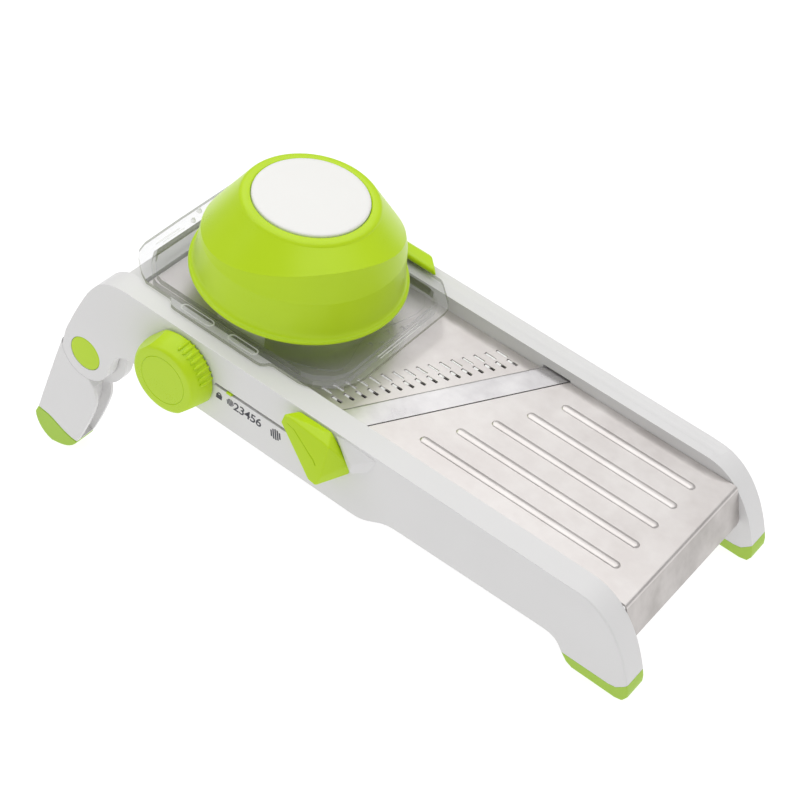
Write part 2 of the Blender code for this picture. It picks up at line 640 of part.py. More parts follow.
def carriage(deck):
    """Clear tray that slides on the rails, with a shallow pan and the food throat."""
    low = RAIL_TOP + RUN
    high = low + TRAY_SHEET
    flange = mm([(-309.4, -32.8), (-307.7, -39), (-304.4, -43.3), (-295.8, -50.6), (-289.5, -54.1),
                 (-273.6, -54.1), (-271.9, -55.2), (-269.4, -58.2), (-266.9, -58.6), (-214.3, -58.6),
                 (-212.1, -58.3), (-210.4, -56), (-208.2, -54.3), (-192.2, -54.1), (-188.6, -53),
                 (-181.6, -49), (-174, -41), (-171, -34), (-170.7, -16.5), (-171, 38.6), (-171.5, 43),
                 (-184.9, 56.3), (-187, 57.5), (-300, 57.5), (-309.9, 46)], WIDTH_SHARE)
    tray = prism("carriage_tray", flange, low, high, "clear", deck, "Z")
    outside = mm([(-303, -33), (-300, -38), (-288, -49), (-194, -49.5), (-188, -47.5), (-180, -40),
                  (-177, -33), (-177, 41), (-185, 49), (-188, 49.5), (-296, 49.5), (-303, 42)], WIDTH_SHARE)
    side = 49.5 * MM * WIDTH_SHARE
    share = (side - TRAY_SHEET) / side
    inside = [(CUP_CENTRE + (x - CUP_CENTRE) * share, y * share) for x, y in outside]
    pan = prism("tray_pan", outside, TRAY_FLOOR, high - GAP, None, deck, "Z")
    room = prism("tray_pan_room", inside, TRAY_FLOOR + TRAY_SHEET, high + MM, None, deck, "Z")
    centre = (CUP_CENTRE, 0, 0)
    stop = CUP_RIM + RUN
    foot = THROAT_RADIUS + 4 * MM
    bore = THROAT_RADIUS - THROAT_WALL
    wall = [(0, TRAY_FLOOR), (foot, TRAY_FLOOR), (foot, stop), (THROAT_RADIUS, stop),
            (THROAT_RADIUS, THROAT_TOP), (0, THROAT_TOP)]
    throat = turned("tray_throat", wall, centre, "Z", None, deck, 40)
    way = [(0, TRAY_FLOOR - MM), (bore, TRAY_FLOOR - MM), (bore, THROAT_TOP + MM), (0, THROAT_TOP + MM)]
    mouth = turned("tray_mouth", way, centre, "Z", None, deck, 40)
    join(tray, pan)
    cut(tray, room)
    join(tray, throat)
    cut(tray, mouth)
    return tray


def rail_clip(deck):
    """Green clip on the tray's far flange that hooks over the far rail; its front end slants."""
    back = -239 * MM
    seat = RAIL_TOP + RUN + TRAY_SHEET + GAP
    top = seat + 3.6 * MM
    inner, outer = INNER + 4.4 * MM, OUTER + 2.2 * MM
    section = [(inner, seat), (OUTER + RUN, seat), (OUTER + RUN, -2 * MM), (outer, -2 * MM),
               (outer, top - 3 * MM), (outer - 2.6 * MM, top - 0.8 * MM), (outer - 4.6 * MM, top),
               (inner + 1.6 * MM, top), (inner, top - 1.4 * MM)]
    mesh_data = bmesh.new()
    ends = []
    for front in (False, True):
        ring = []
        for y, z in section:
            along = back + CLIP_LENGTH - (y - inner) if front else back
            ring.append(mesh_data.verts.new((along, y, z)))
        ends.append(ring)
    mesh_data.faces.new(ends[0])
    mesh_data.faces.new(list(reversed(ends[1])))
    for i in range(len(section)):
        j = (i + 1) % len(section)
        mesh_data.faces.new((ends[0][i], ends[1][i], ends[1][j], ends[0][j]))
    return add("rail_clip", mesh_data, "green", deck)


def crease(bowl):
    """Bend two rings of the bowl's side into the wavy creases; the upper one leaves the lower."""
    for vertex in bowl.data.vertices:
        x, y, z = vertex.co
        x -= CUP_CENTRE
        radius = math.hypot(x, y)
        height = z - CUP_RIM
        if radius < CREASE_RADIUS - 0.6 * MM or not CREASE_LOW - MM < height < CREASE_LOW + 2 * MM:
            continue
        angle = math.atan2(y, x)
        level = CREASE_LOW + 2.2 * MM * math.cos(angle)
        reach = CREASE_RADIUS
        if height > CREASE_LOW + 0.5 * MM:
            share = ((1 + math.cos(angle + math.radians(32))) / 2) ** 2.8
            level += 1 * MM + 14.5 * MM * share
            reach -= 0.6 * MM + 4.1 * MM * share
        vertex.co = (CUP_CENTRE + reach * math.cos(angle), reach * math.sin(angle), CUP_RIM + level)


def cup(deck):
    """Hollow hand cup with its white cap and the sleeve that rides on the throat."""
    centre = (CUP_CENTRE, 0, CUP_RIM)
    height = CUP_HEIGHT
    skirt = CUP_RIM_RADIUS - 2.6 * MM
    shoulder = CREASE_RADIUS - CUP_WALL
    outside = [(CUP_RIM_RADIUS, 0), (CUP_RIM_RADIUS, 1.4 * MM), (skirt, 3.4 * MM),
               (CREASE_RADIUS, CREASE_LOW), (CREASE_RADIUS - 0.3 * MM, CREASE_LOW + 1 * MM),
               (35.4 * MM, height - 1 * MM), (34 * MM, height)]
    lip = [(29.8 * MM, height), (29.8 * MM, height - 2 * MM), (0, height - 2 * MM)]
    inside = [(0, height - 5 * MM), (4.4 * MM, height - 5 * MM), (4.4 * MM, 18.2 * MM), (7 * MM, 18.2 * MM),
              (7 * MM, height - 4.4 * MM), (33.5 * MM, height - 4.4 * MM),
              (shoulder - 0.7 * MM, CREASE_LOW), (skirt - CUP_WALL, 3 * MM),
              (CUP_RIM_RADIUS - CUP_WALL, 0)]
    section = [(0, lip[-1][1])] + list(reversed(lip[:-1])) + list(reversed(outside))
    section += list(reversed(inside))
    bowl = turned("hand_cup", section, centre, "Z", "green", deck, 64)
    crease(bowl)
    cap = [(0, height - 1.7 * MM), (29.5 * MM, height - 1.7 * MM), (29.5 * MM, height + 0.6 * MM),
           (28.6 * MM, height + 1.4 * MM), (0, height + 1.4 * MM)]
    turned("cup_cap", cap, centre, "Z", "white", deck, 48)
    sleeve_in = THROAT_RADIUS + RUN
    sleeve = [(sleeve_in, 0.7 * MM), (sleeve_in + 2 * MM, 0.7 * MM), (sleeve_in + 2 * MM, 25.5 * MM),
              (sleeve_in, 25.5 * MM)]
    turned("cup_sleeve", sleeve, centre, "Z", "clear", deck, 40)
    return bowl


def pusher(deck):
    """Spiked plate on a rod that slides in the cup's boss, pushed down by a coil spring."""
    plate_low, plate_high = 14 * MM, 17 * MM
    centre = (CUP_CENTRE, 0, 0)
    radius = THROAT_RADIUS - 4 * MM
    disc = [(0, plate_low), (radius, plate_low), (radius, plate_high), (0, plate_high)]
    plate = turned("pusher_plate", disc, centre, "Z", "clear", deck, 40)
    for ring, count in ((14 * MM, 6), (28 * MM, 10)):
        for i in range(count):
            angle = 2 * math.pi * i / count
            place = (CUP_CENTRE + ring * math.cos(angle), ring * math.sin(angle), 0)
            spike = turned("spike_%d_%d" % (count, i), [(0, 7 * MM), (1.2 * MM, plate_low + MM),
                           (0, plate_low + MM)], place, "Z", None, deck, 8)
            join(plate, spike)
    boss_top = CUP_RIM + CUP_HEIGHT - 5 * MM
    rod_top = 45 * MM
    turned("pusher_rod", [(0, plate_high + GAP), (6 * MM, plate_high + GAP), (6 * MM, plate_high + 2 * MM),
           (4 * MM, plate_high + 2 * MM), (4 * MM, rod_top), (0, rod_top)], centre, "Z", "white", deck, 24)
    coil("pusher_spring", 10 * MM, 0.6 * MM, plate_high + 1.2 * MM, boss_top - 1 * MM, 7, deck)
    return plate


def coil(name, radius, wire, low, high, turns, deck):
    """A round-wire spring standing on its axis."""
    path = bpy.data.curves.new(name, "CURVE")
    path.dimensions = "3D"
    path.bevel_depth = wire
    path.bevel_resolution = 1
    path.use_fill_caps = True
    spline = path.splines.new("POLY")
    count = turns * 14 + 1
    spline.points.add(count - 1)
    for i, point in enumerate(spline.points):
        share = i / (count - 1)
        angle = 2 * math.pi * turns * share
        point.co = (CUP_CENTRE + radius * math.cos(angle), radius * math.sin(angle),
                    low + (high - low) * share, 1)
    piece = bpy.data.objects.new(name, path)
    bpy.context.collection.objects.link(piece)
    piece.parent = deck
    path.materials.append(mat("steel"))
    return piece


def stand_on_table(deck):
    """Move the whole slicer so that the middle of its underside is at the origin."""
    bpy.context.view_layer.update()
    scene = bpy.context.evaluated_depsgraph_get()
    points = []
    for piece in bpy.data.objects:
        if piece.type not in {"MESH", "CURVE"} or piece.hide_render:
            continue
        shown = piece.evaluated_get(scene)
        mesh = shown.to_mesh()
        points += [shown.matrix_world @ vertex.co for vertex in mesh.vertices]
        shown.to_mesh_clear()
    low = [min(point[k] for point in points) for k in range(3)]
    high = [max(point[k] for point in points) for k in range(3)]
    deck.location = (-(low[0] + high[0]) / 2, -(low[1] + high[1]) / 2, -low[2])
    bpy.context.view_layer.update()


def build():
    """Clear the scene and build the slicer."""
    for piece in list(bpy.data.objects):
        bpy.data.objects.remove(piece, do_unlink=True)
    deck = bpy.data.objects.new("deck_frame", None)
    bpy.context.collection.objects.link(deck)
    deck.rotation_euler = (0, DECK_SLOPE, 0)
    rails(deck)
    crossbars(deck)
    landing_plate(deck)
    front_feet(deck)
    leg(deck)
    adjuster(deck)
    scale_pointer(deck)
    ramp(deck)
    comb("rear_comb", REAR_ROW, deck)
    comb("front_comb", FRONT_ROW, deck)
    blade(deck)
    carriage(deck)
    rail_clip(deck)
    cup(deck)
    pusher(deck)
    stand_on_table(deck)


build()
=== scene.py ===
"""The looks of an adjustable mandoline slicer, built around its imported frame, in metres."""
import json
import math

import bmesh
import bpy
from mathutils import Matrix, Vector


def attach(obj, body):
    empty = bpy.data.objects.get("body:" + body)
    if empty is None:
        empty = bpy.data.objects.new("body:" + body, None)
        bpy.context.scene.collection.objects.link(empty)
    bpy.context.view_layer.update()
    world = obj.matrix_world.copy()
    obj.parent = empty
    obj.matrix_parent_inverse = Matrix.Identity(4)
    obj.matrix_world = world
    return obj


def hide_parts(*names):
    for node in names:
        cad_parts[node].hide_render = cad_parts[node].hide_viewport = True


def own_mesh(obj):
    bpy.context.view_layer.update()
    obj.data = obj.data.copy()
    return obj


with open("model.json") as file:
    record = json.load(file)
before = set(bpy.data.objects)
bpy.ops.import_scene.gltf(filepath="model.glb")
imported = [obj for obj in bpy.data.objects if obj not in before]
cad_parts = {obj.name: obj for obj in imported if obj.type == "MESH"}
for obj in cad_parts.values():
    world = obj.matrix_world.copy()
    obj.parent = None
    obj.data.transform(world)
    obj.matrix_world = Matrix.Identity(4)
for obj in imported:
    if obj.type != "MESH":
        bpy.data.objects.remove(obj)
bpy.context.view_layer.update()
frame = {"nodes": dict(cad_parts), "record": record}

# ---- Side rails ------------------------------------------------------------------------------
# Two hollow white mouldings, open below. Each falls to a rounded nose in front, steps up under
# the blade and ends behind in the lobe that carries the leg's pivot. The slicer stands on a
# slope, so all is shaped on the level deck, +X to the landing end, and laid on the real one.
MM = 0.001
joints = {joint["name"]: joint for joint in frame["record"]["behaviour"]["joints"]}
down_deck = Vector(joints["carriage_slide"]["axis"])
out_of_deck = Vector(joints["cup_lift"]["axis"])
KNOB = Vector((-253.6, 0, -18.1)) * MM
tilt = Matrix((down_deck, out_of_deck.cross(down_deck), out_of_deck)).transposed()
DECK = Matrix.Translation(Vector(joints["knob_turn"]["pos_m"]) - tilt @ KNOB) @ tilt.to_4x4()
INNER = 52 * MM                 # from the middle to a rail's inner face
OUTER = 66.2 * MM               # and to its outer face
RAIL_TOP = 6.1 * MM
SKEW = 0.541                    # the blade's run along the deck for each unit across
PIVOT = (-315.1, -51.7)
LOBE = 16.3


def edge_line(y):
    """Where the cutting edge is along the deck, at a place across it."""
    return -172.5 * MM + SKEW * (y + INNER)


def only(*pieces):
    """Select these pieces and nothing else."""
    bpy.ops.object.select_all(action="DESELECT")
    for piece in pieces:
        piece.select_set(True)
    bpy.context.view_layer.objects.active = pieces[0]


def edit(piece, mode="VERT"):
    """Open the piece in edit mode with nothing selected, and return its mesh."""
    only(piece)
    bpy.ops.object.mode_set(mode="EDIT")
    bpy.ops.mesh.select_mode(type=mode)
    bpy.ops.mesh.select_all(action="DESELECT")
    return bmesh.from_edit_mesh(piece.data)


def close(piece):
    """Leave edit mode with the doubles merged and the faces pointing outwards."""
    bpy.ops.mesh.select_all(action="SELECT")
    bpy.ops.mesh.remove_doubles(threshold=0.00001)
    bpy.ops.mesh.normals_make_consistent(inside=False)
    bpy.ops.object.mode_set(mode="OBJECT")
    return piece


def draw(name, points):
    """A line drawn from one vertex, each stretch extruded to the next point; stays in edit mode."""
    bpy.ops.object.select_all(action="DESELECT")
    bpy.ops.mesh.primitive_plane_add(size=MM, location=(0, 0, 0))
    piece = bpy.context.object
    piece.name = name
    bpy.ops.object.mode_set(mode="EDIT")
    bpy.ops.mesh.select_mode(type="VERT")
    bpy.ops.mesh.merge(type="CENTER")
    bpy.ops.transform.translate(value=points[0])
    for start, stop in zip(points, points[1:]):
        step = Vector(stop) - Vector(start)
        bpy.ops.mesh.extrude_region_move(TRANSFORM_OT_translate={"value": step})
    return piece


def slab(name, points, step):
    """A drawn outline, filled and extruded by one step."""
    piece = draw(name, points)
    bpy.ops.mesh.select_all(action="SELECT")
    bpy.ops.mesh.edge_face_add()
    bpy.ops.mesh.select_all(action="SELECT")
    bpy.ops.mesh.extrude_region_move(TRANSFORM_OT_translate={"value": step})
    return close(piece)


def faceted(name, points):
    """The flat-faced block that wraps these points, given in millimetres."""
    piece = draw(name, [tuple(MM * value for value in point) for point in points])
    bpy.ops.mesh.select_all(action="SELECT")
    bpy.ops.mesh.convex_hull()
    return close(piece)


def turn(name, profile, centre, axis="Z", steps=96):
    """A profile (radius, height) drawn beside an axis and spun right round it."""
    cx, cy, cz = centre
    if axis == "Z":
        points = [(cx + r, cy, cz + h) for r, h in profile]
    else:
        points = [(cx + r, cy + h, cz) for r, h in profile]
    piece = draw(name, points)
    bpy.ops.mesh.select_all(action="SELECT")
    line = (0, 0, 1) if axis == "Z" else (0, 1, 0)
    bpy.ops.mesh.spin(steps=steps, angle=2 * math.pi, center=centre, axis=line)
    return close(piece)


def apply(piece, kind, **settings):
    """Add one modifier with its settings and apply it."""
    only(piece)
    change = piece.modifiers.new(kind.lower(), kind)
    for key, value in settings.items():
        setattr(change, key, value)
    bpy.ops.object.modifier_apply(modifier=change.name)
    return piece


def soften(piece, width, segments=3, angle=30):
    """Round every sharp edge."""
    return apply(piece, "BEVEL", width=width, segments=segments, limit_method="ANGLE",
                 angle_limit=math.radians(angle), use_clamp_overlap=True)


def combine(piece, how, *others):
    """Cut, join or trim the piece with other solids, which are used up."""
    for other in others:
        apply(piece, "BOOLEAN", operation=how, solver="EXACT", object=other)
        bpy.data.objects.remove(other, do_unlink=True)
    return piece


def twin(piece, name):
    """A copy with its own mesh."""
    other = piece.copy()
    other.data = piece.data.copy()
    other.name = name
    bpy.context.collection.objects.link(other)
    return other


def bend(start, lead, trail, stop, count):
    """Points along a cubic curve in the side view, the start left out, in millimetres."""
    points = []
    for i in range(1, count + 1):
        t = i / count
        shares = ((1 - t) ** 3, 3 * (1 - t) ** 2 * t, 3 * (1 - t) * t * t, t ** 3)
        pulled = list(zip(shares, (start, lead, trail, stop)))
        points.append(tuple(sum(share * point[k] for share, point in pulled) for k in range(2)))
    return points


def arc(centre, radius, start, stop, count):
    """Points on an arc, angles in degrees."""
    angles = [math.radians(start + (stop - start) * i / count) for i in range(count + 1)]
    return [(centre[0] + radius * math.cos(a), centre[1] + radius * math.sin(a)) for a in angles]


def side_view(points, y):
    """Millimetre points (along, height) as places at one distance across the deck."""
    return [(a * MM, y, b * MM) for a, b in points]


def skew_box(name, a, y, w):
    """A box that follows the blade: spans behind the edge, across, and in height."""
    section = ((a[0], w[0]), (a[1], w[0]), (a[1], w[1]), (a[0], w[1]))
    corners = [(edge_line(y[0]) + p, y[0], q) for p, q in section]
    return slab(name, corners, (SKEW * (y[1] - y[0]), y[1] - y[0], 0))


def lay(piece, body, finish, slot, *nodes, smooth=35):
    """Shade the piece, lay it on the sloping deck and give it its finish and body."""
    only(piece)
    bpy.ops.object.shade_smooth_by_angle(angle=math.radians(smooth))
    apply(piece, "WEIGHTED_NORMAL", keep_sharp=True, weight=80)
    piece.data.transform(DECK)
    piece.data.materials.clear()
    piece.data.materials.append(finish)
    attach(piece, body)
    if nodes:
        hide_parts(*nodes)
    return piece


class Wire:
    """A shader socket; sums on wires add their Math nodes."""

    def __init__(self, tree, socket=None):
        self.tree = tree
        self.socket = socket

    def node(self, kind, inputs=None, out=0, stops=(), **settings):
        """Any node: its type, its settings, and the values or wires of its sockets."""
        made = self.tree.nodes.new(kind)
        for key, value in settings.items():
            setattr(made, key, value)
        for i, (place, colour) in enumerate(stops):
            stop = made.color_ramp.elements[i] if i < 2 else made.color_ramp.elements.new(place)
            stop.position = place
            stop.color = colour
        for key, value in (inputs or {}).items():
            if isinstance(value, Wire):
                self.tree.links.new(value.socket, made.inputs[key])
            else:
                made.inputs[key].default_value = value
        return Wire(self.tree, made.outputs[out])

    def sum(self, operation, first, second):
        """One Math node."""
        return self.node("ShaderNodeMath", {0: first, 1: second}, operation=operation)

    def __add__(self, other):
        return self.sum("ADD", self, other)

    def __sub__(self, other):
        return self.sum("SUBTRACT", self, other)

    def __rsub__(self, other):
        return self.sum("SUBTRACT", other, self)

    def __mul__(self, other):
        return self.sum("MULTIPLY", self, other)

    __radd__ = __add__
    __rmul__ = __mul__


def start_finish(name, **values):
    """A new material: its first wire, its Principled shader, and the plain values on it."""
    made = bpy.data.materials.new(name)
    made.use_nodes = True
    shader = made.node_tree.nodes["Principled BSDF"]
    for key, value in values.items():
        shader.inputs[key.replace("_", " ")].default_value = value
    return made, Wire(made.node_tree), shader


def feed(wire, shader, **links):
    """Join wires to the shader's sockets."""
    for key, value in links.items():
        wire.tree.links.new(value.socket, shader.inputs[key.replace("_", " ")])


def grain(wire, size, detail=2.0, stretch=(1, 1, 1)):
    """Noise on the object's own coordinates, with grains of about one size in metres."""
    place = wire.node("ShaderNodeTexCoord", out=3)
    place = wire.node("ShaderNodeMapping", {0: place, 3: stretch})
    return wire.node("ShaderNodeTexNoise", {"Vector": place, "Scale": 1 / size, "Detail": detail})


def tint(wire, factor, first, second):
    """A colour between two."""
    return wire.node("ShaderNodeMix", {0: factor, 6: first, 7: second}, out=2, data_type="RGBA")


def bump(wire, height, depth, strength=1.0):
    """A Bump node of a real depth in metres."""
    return wire.node("ShaderNodeBump", {"Height": height, "Distance": depth, "Strength": strength})


def moulded(name, low, high, rough, grain_depth, **values):
    """Moulded plastic: two close shades, a fine tool grain and patches of uneven gloss."""
    made, wire, shader = start_finish(name, **values)
    patches = grain(wire, 35 * MM)
    fine = grain(wire, 0.45 * MM, 1.0)
    feed(wire, shader, Base_Color=tint(wire, patches, low, high),
         Roughness=rough + (patches - 0.5) * 0.12 + (fine - 0.5) * 0.06,
         Normal=bump(wire, fine, grain_depth))
    return made


WHITE = moulded("white_plastic", (0.735, 0.727, 0.727, 1), (0.775, 0.768, 0.768, 1), 0.42,
                0.012 * MM)


def rail_outline():
    """The rail's side view in millimetres, the soft foot under its nose included."""
    top = RAIL_TOP / MM
    points = [(-20.8, top)] + bend((-20.8, top), (-4.84, top), (8.14, -7.53), (16.86, -29.47), 22)
    points += [(18.2, -33.4), (18.7, -37), (17.1, -40.14), (13, -41.2), (-11, -40.9)]
    points += [(-15.6, -38.9), (-18.6, -35.6)]
    points += bend((-18.6, -35.6), (-22, -31), (-24, -28.6), (-32, -28.6), 8)
    points += [(-117, -29.9)] + bend((-117, -29.9), (-128, -30.5), (-131, -38), (-141, -38), 12)
    points += [(-285, -36.4)] + bend((-285, -36.4), (-296, -38), (-297.6, -46), (-298.8, -51.7), 8)
    points += arc(PIVOT, LOBE, -4, -166, 24)
    points += [(-329.3, -44.5)] + bend((-329.3, -44.5), (-327, -36), (-321, -20), (-316.5, -10.5), 6)
    return points + bend((-316.5, -10.5), (-310, 1.5), (-305, top), (-289, top), 12)


def round_edges(piece, side):
    """Round the long edges, most of all round the nose's outer corner."""
    weights = piece.data.attributes.new("bevel_weight_edge", "FLOAT", "EDGE")
    verts = piece.data.vertices
    for edge in piece.data.edges:
        a, b = (verts[i].co for i in edge.vertices)
        if abs(a.y - b.y) > MM:
            continue
        middle = (a + b) / 2
        share = 0.18 if middle.z > -12 * MM else 0.12
        if middle.y * side > OUTER - MM and middle.x > -30 * MM and middle.z > -39 * MM:
            share = min(1.0, 0.25 + max(0, middle.x + 30 * MM) / (32 * MM))
        if middle.z < -36 * MM and middle.x < -250 * MM:
            share = 0.0
        weights.data[edge.index].value = share
    apply(piece, "BEVEL", width=5.6 * MM, segments=5, limit_method="WEIGHT", use_clamp_overlap=True)


def pivot_cutter(side):
    """The stepped bore through the lobe: room for the leg's hub, its pin and the cap."""
    steps = [(0, 51), (21.9, 51), (21.9, 59.1), (4.3, 59.1), (4.3, 62), (10.05, 62), (10.05, 68),
             (0, 68)]
    profile = [(r * MM, side * y * MM) for r, y in steps]
    return turn("pivot_cutter", profile, (PIVOT[0] * MM, 0, PIVOT[1] * MM), "Y", 64)


FOOT_SEAM = [(-30, -35.75), (8, -35.75), (12, -34.9), (15, -32), (17.2, -29.6), (24, -29.2), (24, -50),
             (-30, -50)]


def foot_region(side, rise):
    """The room of the soft foot, its seam raised a little."""
    seam = side_view([(a, b + rise) for a, b in FOOT_SEAM], side * 50 * MM)
    return slab("foot_region", seam, (0, side * 20 * MM, 0))


def side_rail(name, side):
    """One rail with its hollow, its rounding and its bore, and the foot cut from under it."""
    inner, outer = side * INNER, side * OUTER
    rail = slab(name, side_view(rail_outline(), inner), (0, outer - inner, 0))
    round_edges(rail, side)
    foot = combine(twin(rail, name + "_foot"), "INTERSECT", foot_region(side, 0.15))
    hollow = [(-282, -60), (-282, 3.4), (-20, 3.4), (-6, -4), (3, -16), (6, -26), (-20, -26), (-20, -60)]
    room = slab("rail_hollow", side_view(hollow, inner + side * 2.5 * MM), (0, side * 9.2 * MM, 0))
    combine(rail, "DIFFERENCE", foot_region(side, 0.3), room, pivot_cutter(side))
    return rail, foot


near_rail, near_foot = side_rail("near_rail_shell", -1)
guard = faceted("blade_guard", [(-160.5, -65, 5.0), (-160.2, -66.1, 5.4), (-134.5, -66.1, 4.4),
                                (-134.5, -65, 3), (-145.3, -70.5, -3.0), (-136.2, -67.3, 4.0),
                                (-144.8, -70.1, -9.2), (-137.3, -66.5, -4.6), (-144.2, -65, -10),
                                (-137, -65, -6)])
soften(guard, 0.7 * MM, 3, 20)
slot = slab("slot_cutter", side_view([(-231.8, -14.6), (-186, -14.6), (-186, -12.7), (-231.2, -12.7),
                                      (-231.8, -13.2)], -OUTER - MM), (0, 4 * MM, 0))
BLADE_ROOM = ((-0.8 * MM, 16.2 * MM), (-5.6 * MM, 0.9 * MM))     # along the deck, and in height
blade_way = skew_box("blade_way", BLADE_ROOM[0], (-OUTER - 3 * MM, -INNER + 2 * MM), BLADE_ROOM[1])
combine(near_rail, "UNION", guard)
combine(near_rail, "DIFFERENCE", slot, blade_way)
lay(near_rail, "frame", WHITE, "white_plastic", "near_side_rail")

far_rail, far_foot = side_rail("far_rail_shell", 1)
pocket = skew_box("blade_pocket", BLADE_ROOM[0], (INNER - MM, INNER + 3 * MM), BLADE_ROOM[1])
groove = slab("clip_groove", [(-300 * MM, y * MM, RAIL_TOP + w * MM)
                              for y, w in ((56.6, 0.1), (58.8, -0.6), (61.6, -0.6), (63.4, 0.1))],
              (284 * MM, 0, 0))
combine(far_rail, "DIFFERENCE", pocket, groove)
lay(far_rail, "frame", WHITE, "white_plastic", "far_side_rail")

# ---- Feet and pivot caps ---------------------------------------------------------------------
# Soft lime pads moulded under the rails' noses, and snap caps over the leg's pins.
RUBBER = moulded("lime_rubber", (0.38, 0.60, 0.06, 1), (0.44, 0.66, 0.075, 1), 0.6, 0.02 * MM)
LIME_SHADES = ((0.47, 0.69, 0.006, 1), (0.53, 0.75, 0.010, 1))
LIME = moulded("lime_plastic", *LIME_SHADES, 0.30, 0.008 * MM, Specular_IOR_Level=0.35)
for word, side, foot in (("near", -1, near_foot), ("far", 1, far_foot)):
    lay(foot, "frame", RUBBER, "green_rubber", word + "_front_foot")
    face = side * OUTER
    rim = [(0, 2), (9.9, 2), (9.9, 0.5), (9.7, 0.15), (9.3, 0.02), (8.9, 0), (0, 0)]
    cap = turn(word + "_cap", [(r * MM, face - side * depth * MM) for r, depth in rim],
               (PIVOT[0] * MM, 0, PIVOT[1] * MM), "Y", 64)
    lay(cap, "frame", LIME, "green_plastic", word + "_pivot_cap")

# ---- Folding leg -----------------------------------------------------------------------------
# One white moulding: two hollow arms joined by a bar. Each arm is scooped round the rail's lobe
# and has a half-thick hub that turns inside it. A lime rocker pad is moulded under each.
arm_view = [(-311.9, -67.9), (-308.2, -71.6)]
arm_view += bend((-308.2, -71.6), (-305, -76), (-304.8, -82), (-306.2, -87), 6)
arm_view += bend((-306.2, -87), (-307.4, -93), (-311, -106), (-316.6, -119.3), 8)
arm_view += bend((-316.6, -119.3), (-326, -119.4), (-332, -114.6), (-337.5, -113.3), 6)
arm_view += [(-345.4, -112.4)]
arm_view += bend((-345.4, -112.4), (-341, -92), (-336, -70), (-331.5, -51.7), 8) + [(-315, -50)]
arm_room = [(-300, -71), (-312, -72.5), (-311.5, -82), (-313, -92), (-317.5, -106), (-322, -115),
            (-300, -123)]
back_line = [(-350, -14), (-317.4, -14), (-322.2, -25), (-327.4, -40), (-330.4, -51), (-333.4, -63),
             (-350, -63)]
arms = []
for side in (-1, 1):
    arm = slab("leg_arm", side_view(arm_view, side * (INNER + 0.3 * MM)), (0, side * 13.9 * MM, 0))
    soften(arm, 0.8 * MM, 4, 50)
    centre = (PIVOT[0] * MM, 0, PIVOT[1] * MM)
    rim = [(0, 58.8), (LOBE + 0.2, 58.8), (LOBE + 0.2, 70), (0, 70)]
    scoop = turn("lobe_scoop", [(r * MM, side * y * MM) for r, y in rim], centre, "Y", 96)
    rim = [(0, 52.5), (21, 52.5), (21.5, 53.0), (21.5, 58.6), (0, 58.6)]
    hub = turn("leg_hub", [(r * MM, side * y * MM) for r, y in rim], centre, "Y", 64)
    behind = slab("hub_trim", side_view(back_line, side * 50 * MM), (0, side * 10 * MM, 0))
    hollow = slab("arm_hollow", side_view(arm_room, side * 54.6 * MM), (0, side * 9.6 * MM, 0))
    combine(hub, "DIFFERENCE", behind)
    combine(arm, "DIFFERENCE", scoop)
    combine(arm, "UNION", hub)
    combine(arm, "DIFFERENCE", hollow)
    arms.append(arm)
rod_ends = [(0, -54.2), (5.5, -54.2), (5.5, 54.2), (0, 54.2)]
bar = turn("leg_bar", [(r * MM, y * MM) for r, y in rod_ends], (-322.4 * MM, 0, -80 * MM), "Y", 40)
rod_ends = [(0, -61), (4.3, -61), (4.3, 61), (0, 61)]
pin_way = turn("pin_way", [(r * MM, y * MM) for r, y in rod_ends], centre, "Y", 48)
leg = combine(arms[0], "UNION", bar, arms[1])
combine(leg, "DIFFERENCE", pin_way)
leg.name = "leg_moulding"
lay(leg, "leg", WHITE, "white_plastic", "folding_leg")

pad_view = [(-345.5, -112.7), (-337.5, -113.6)]
pad_view += bend((-337.5, -113.6), (-332, -114.9), (-326, -119.7), (-316.7, -119.6), 6)
pad_view += bend((-316.7, -119.6), (-318, -123.4), (-322, -127.6), (-328, -129.4), 7)
pad_view += [(-334, -130.9)] + bend((-334, -130.9), (-341, -130), (-346.4, -124), (-347.3, -117.6), 7)
for word, side in (("near", -1), ("far", 1)):
    pad = slab(word + "_rocker_pad", side_view(pad_view, side * (INNER + 0.3 * MM)),
               (0, side * 13.9 * MM, 0))
    soften(pad, 0.7 * MM, 3, 50)
    lay(pad, "leg", RUBBER, "green_rubber", word + "_leg_pad")

# ---- Landing plate ---------------------------------------------------------------------------
# 1.2 mm satin sheet behind the blade, its end bent down over the front bar, with five round
# ribs pressed up so that wet food doesn't stick.
SHEET = 1.2 * MM


def sheet_steel(name, low, high, rough, metal):
    """Satin sheet: soft blotches in shade and gloss, and a faint rolled grain along the deck."""
    made, wire, shader = start_finish(name, Metallic=metal)
    clouds = grain(wire, 30 * MM, 3.0)
    blotches = grain(wire, 7 * MM, 4.0)
    rolled = grain(wire, 0.5 * MM, 2.0, (0.04, 1, 0.2))
    speck = grain(wire, 0.3 * MM, 1.0)
    mottle = clouds * 0.65 + blotches * 0.35
    shade = wire.node("ShaderNodeValToRGB", {0: mottle}, stops=((0.36, low), (0.64, high)))
    feed(wire, shader, Base_Color=shade,
         Roughness=rough + (mottle - 0.5) * 0.3 + (rolled - 0.5) * 0.06,
         Normal=bump(wire, rolled * 0.5 + speck * 0.5, 0.004 * MM))
    return made


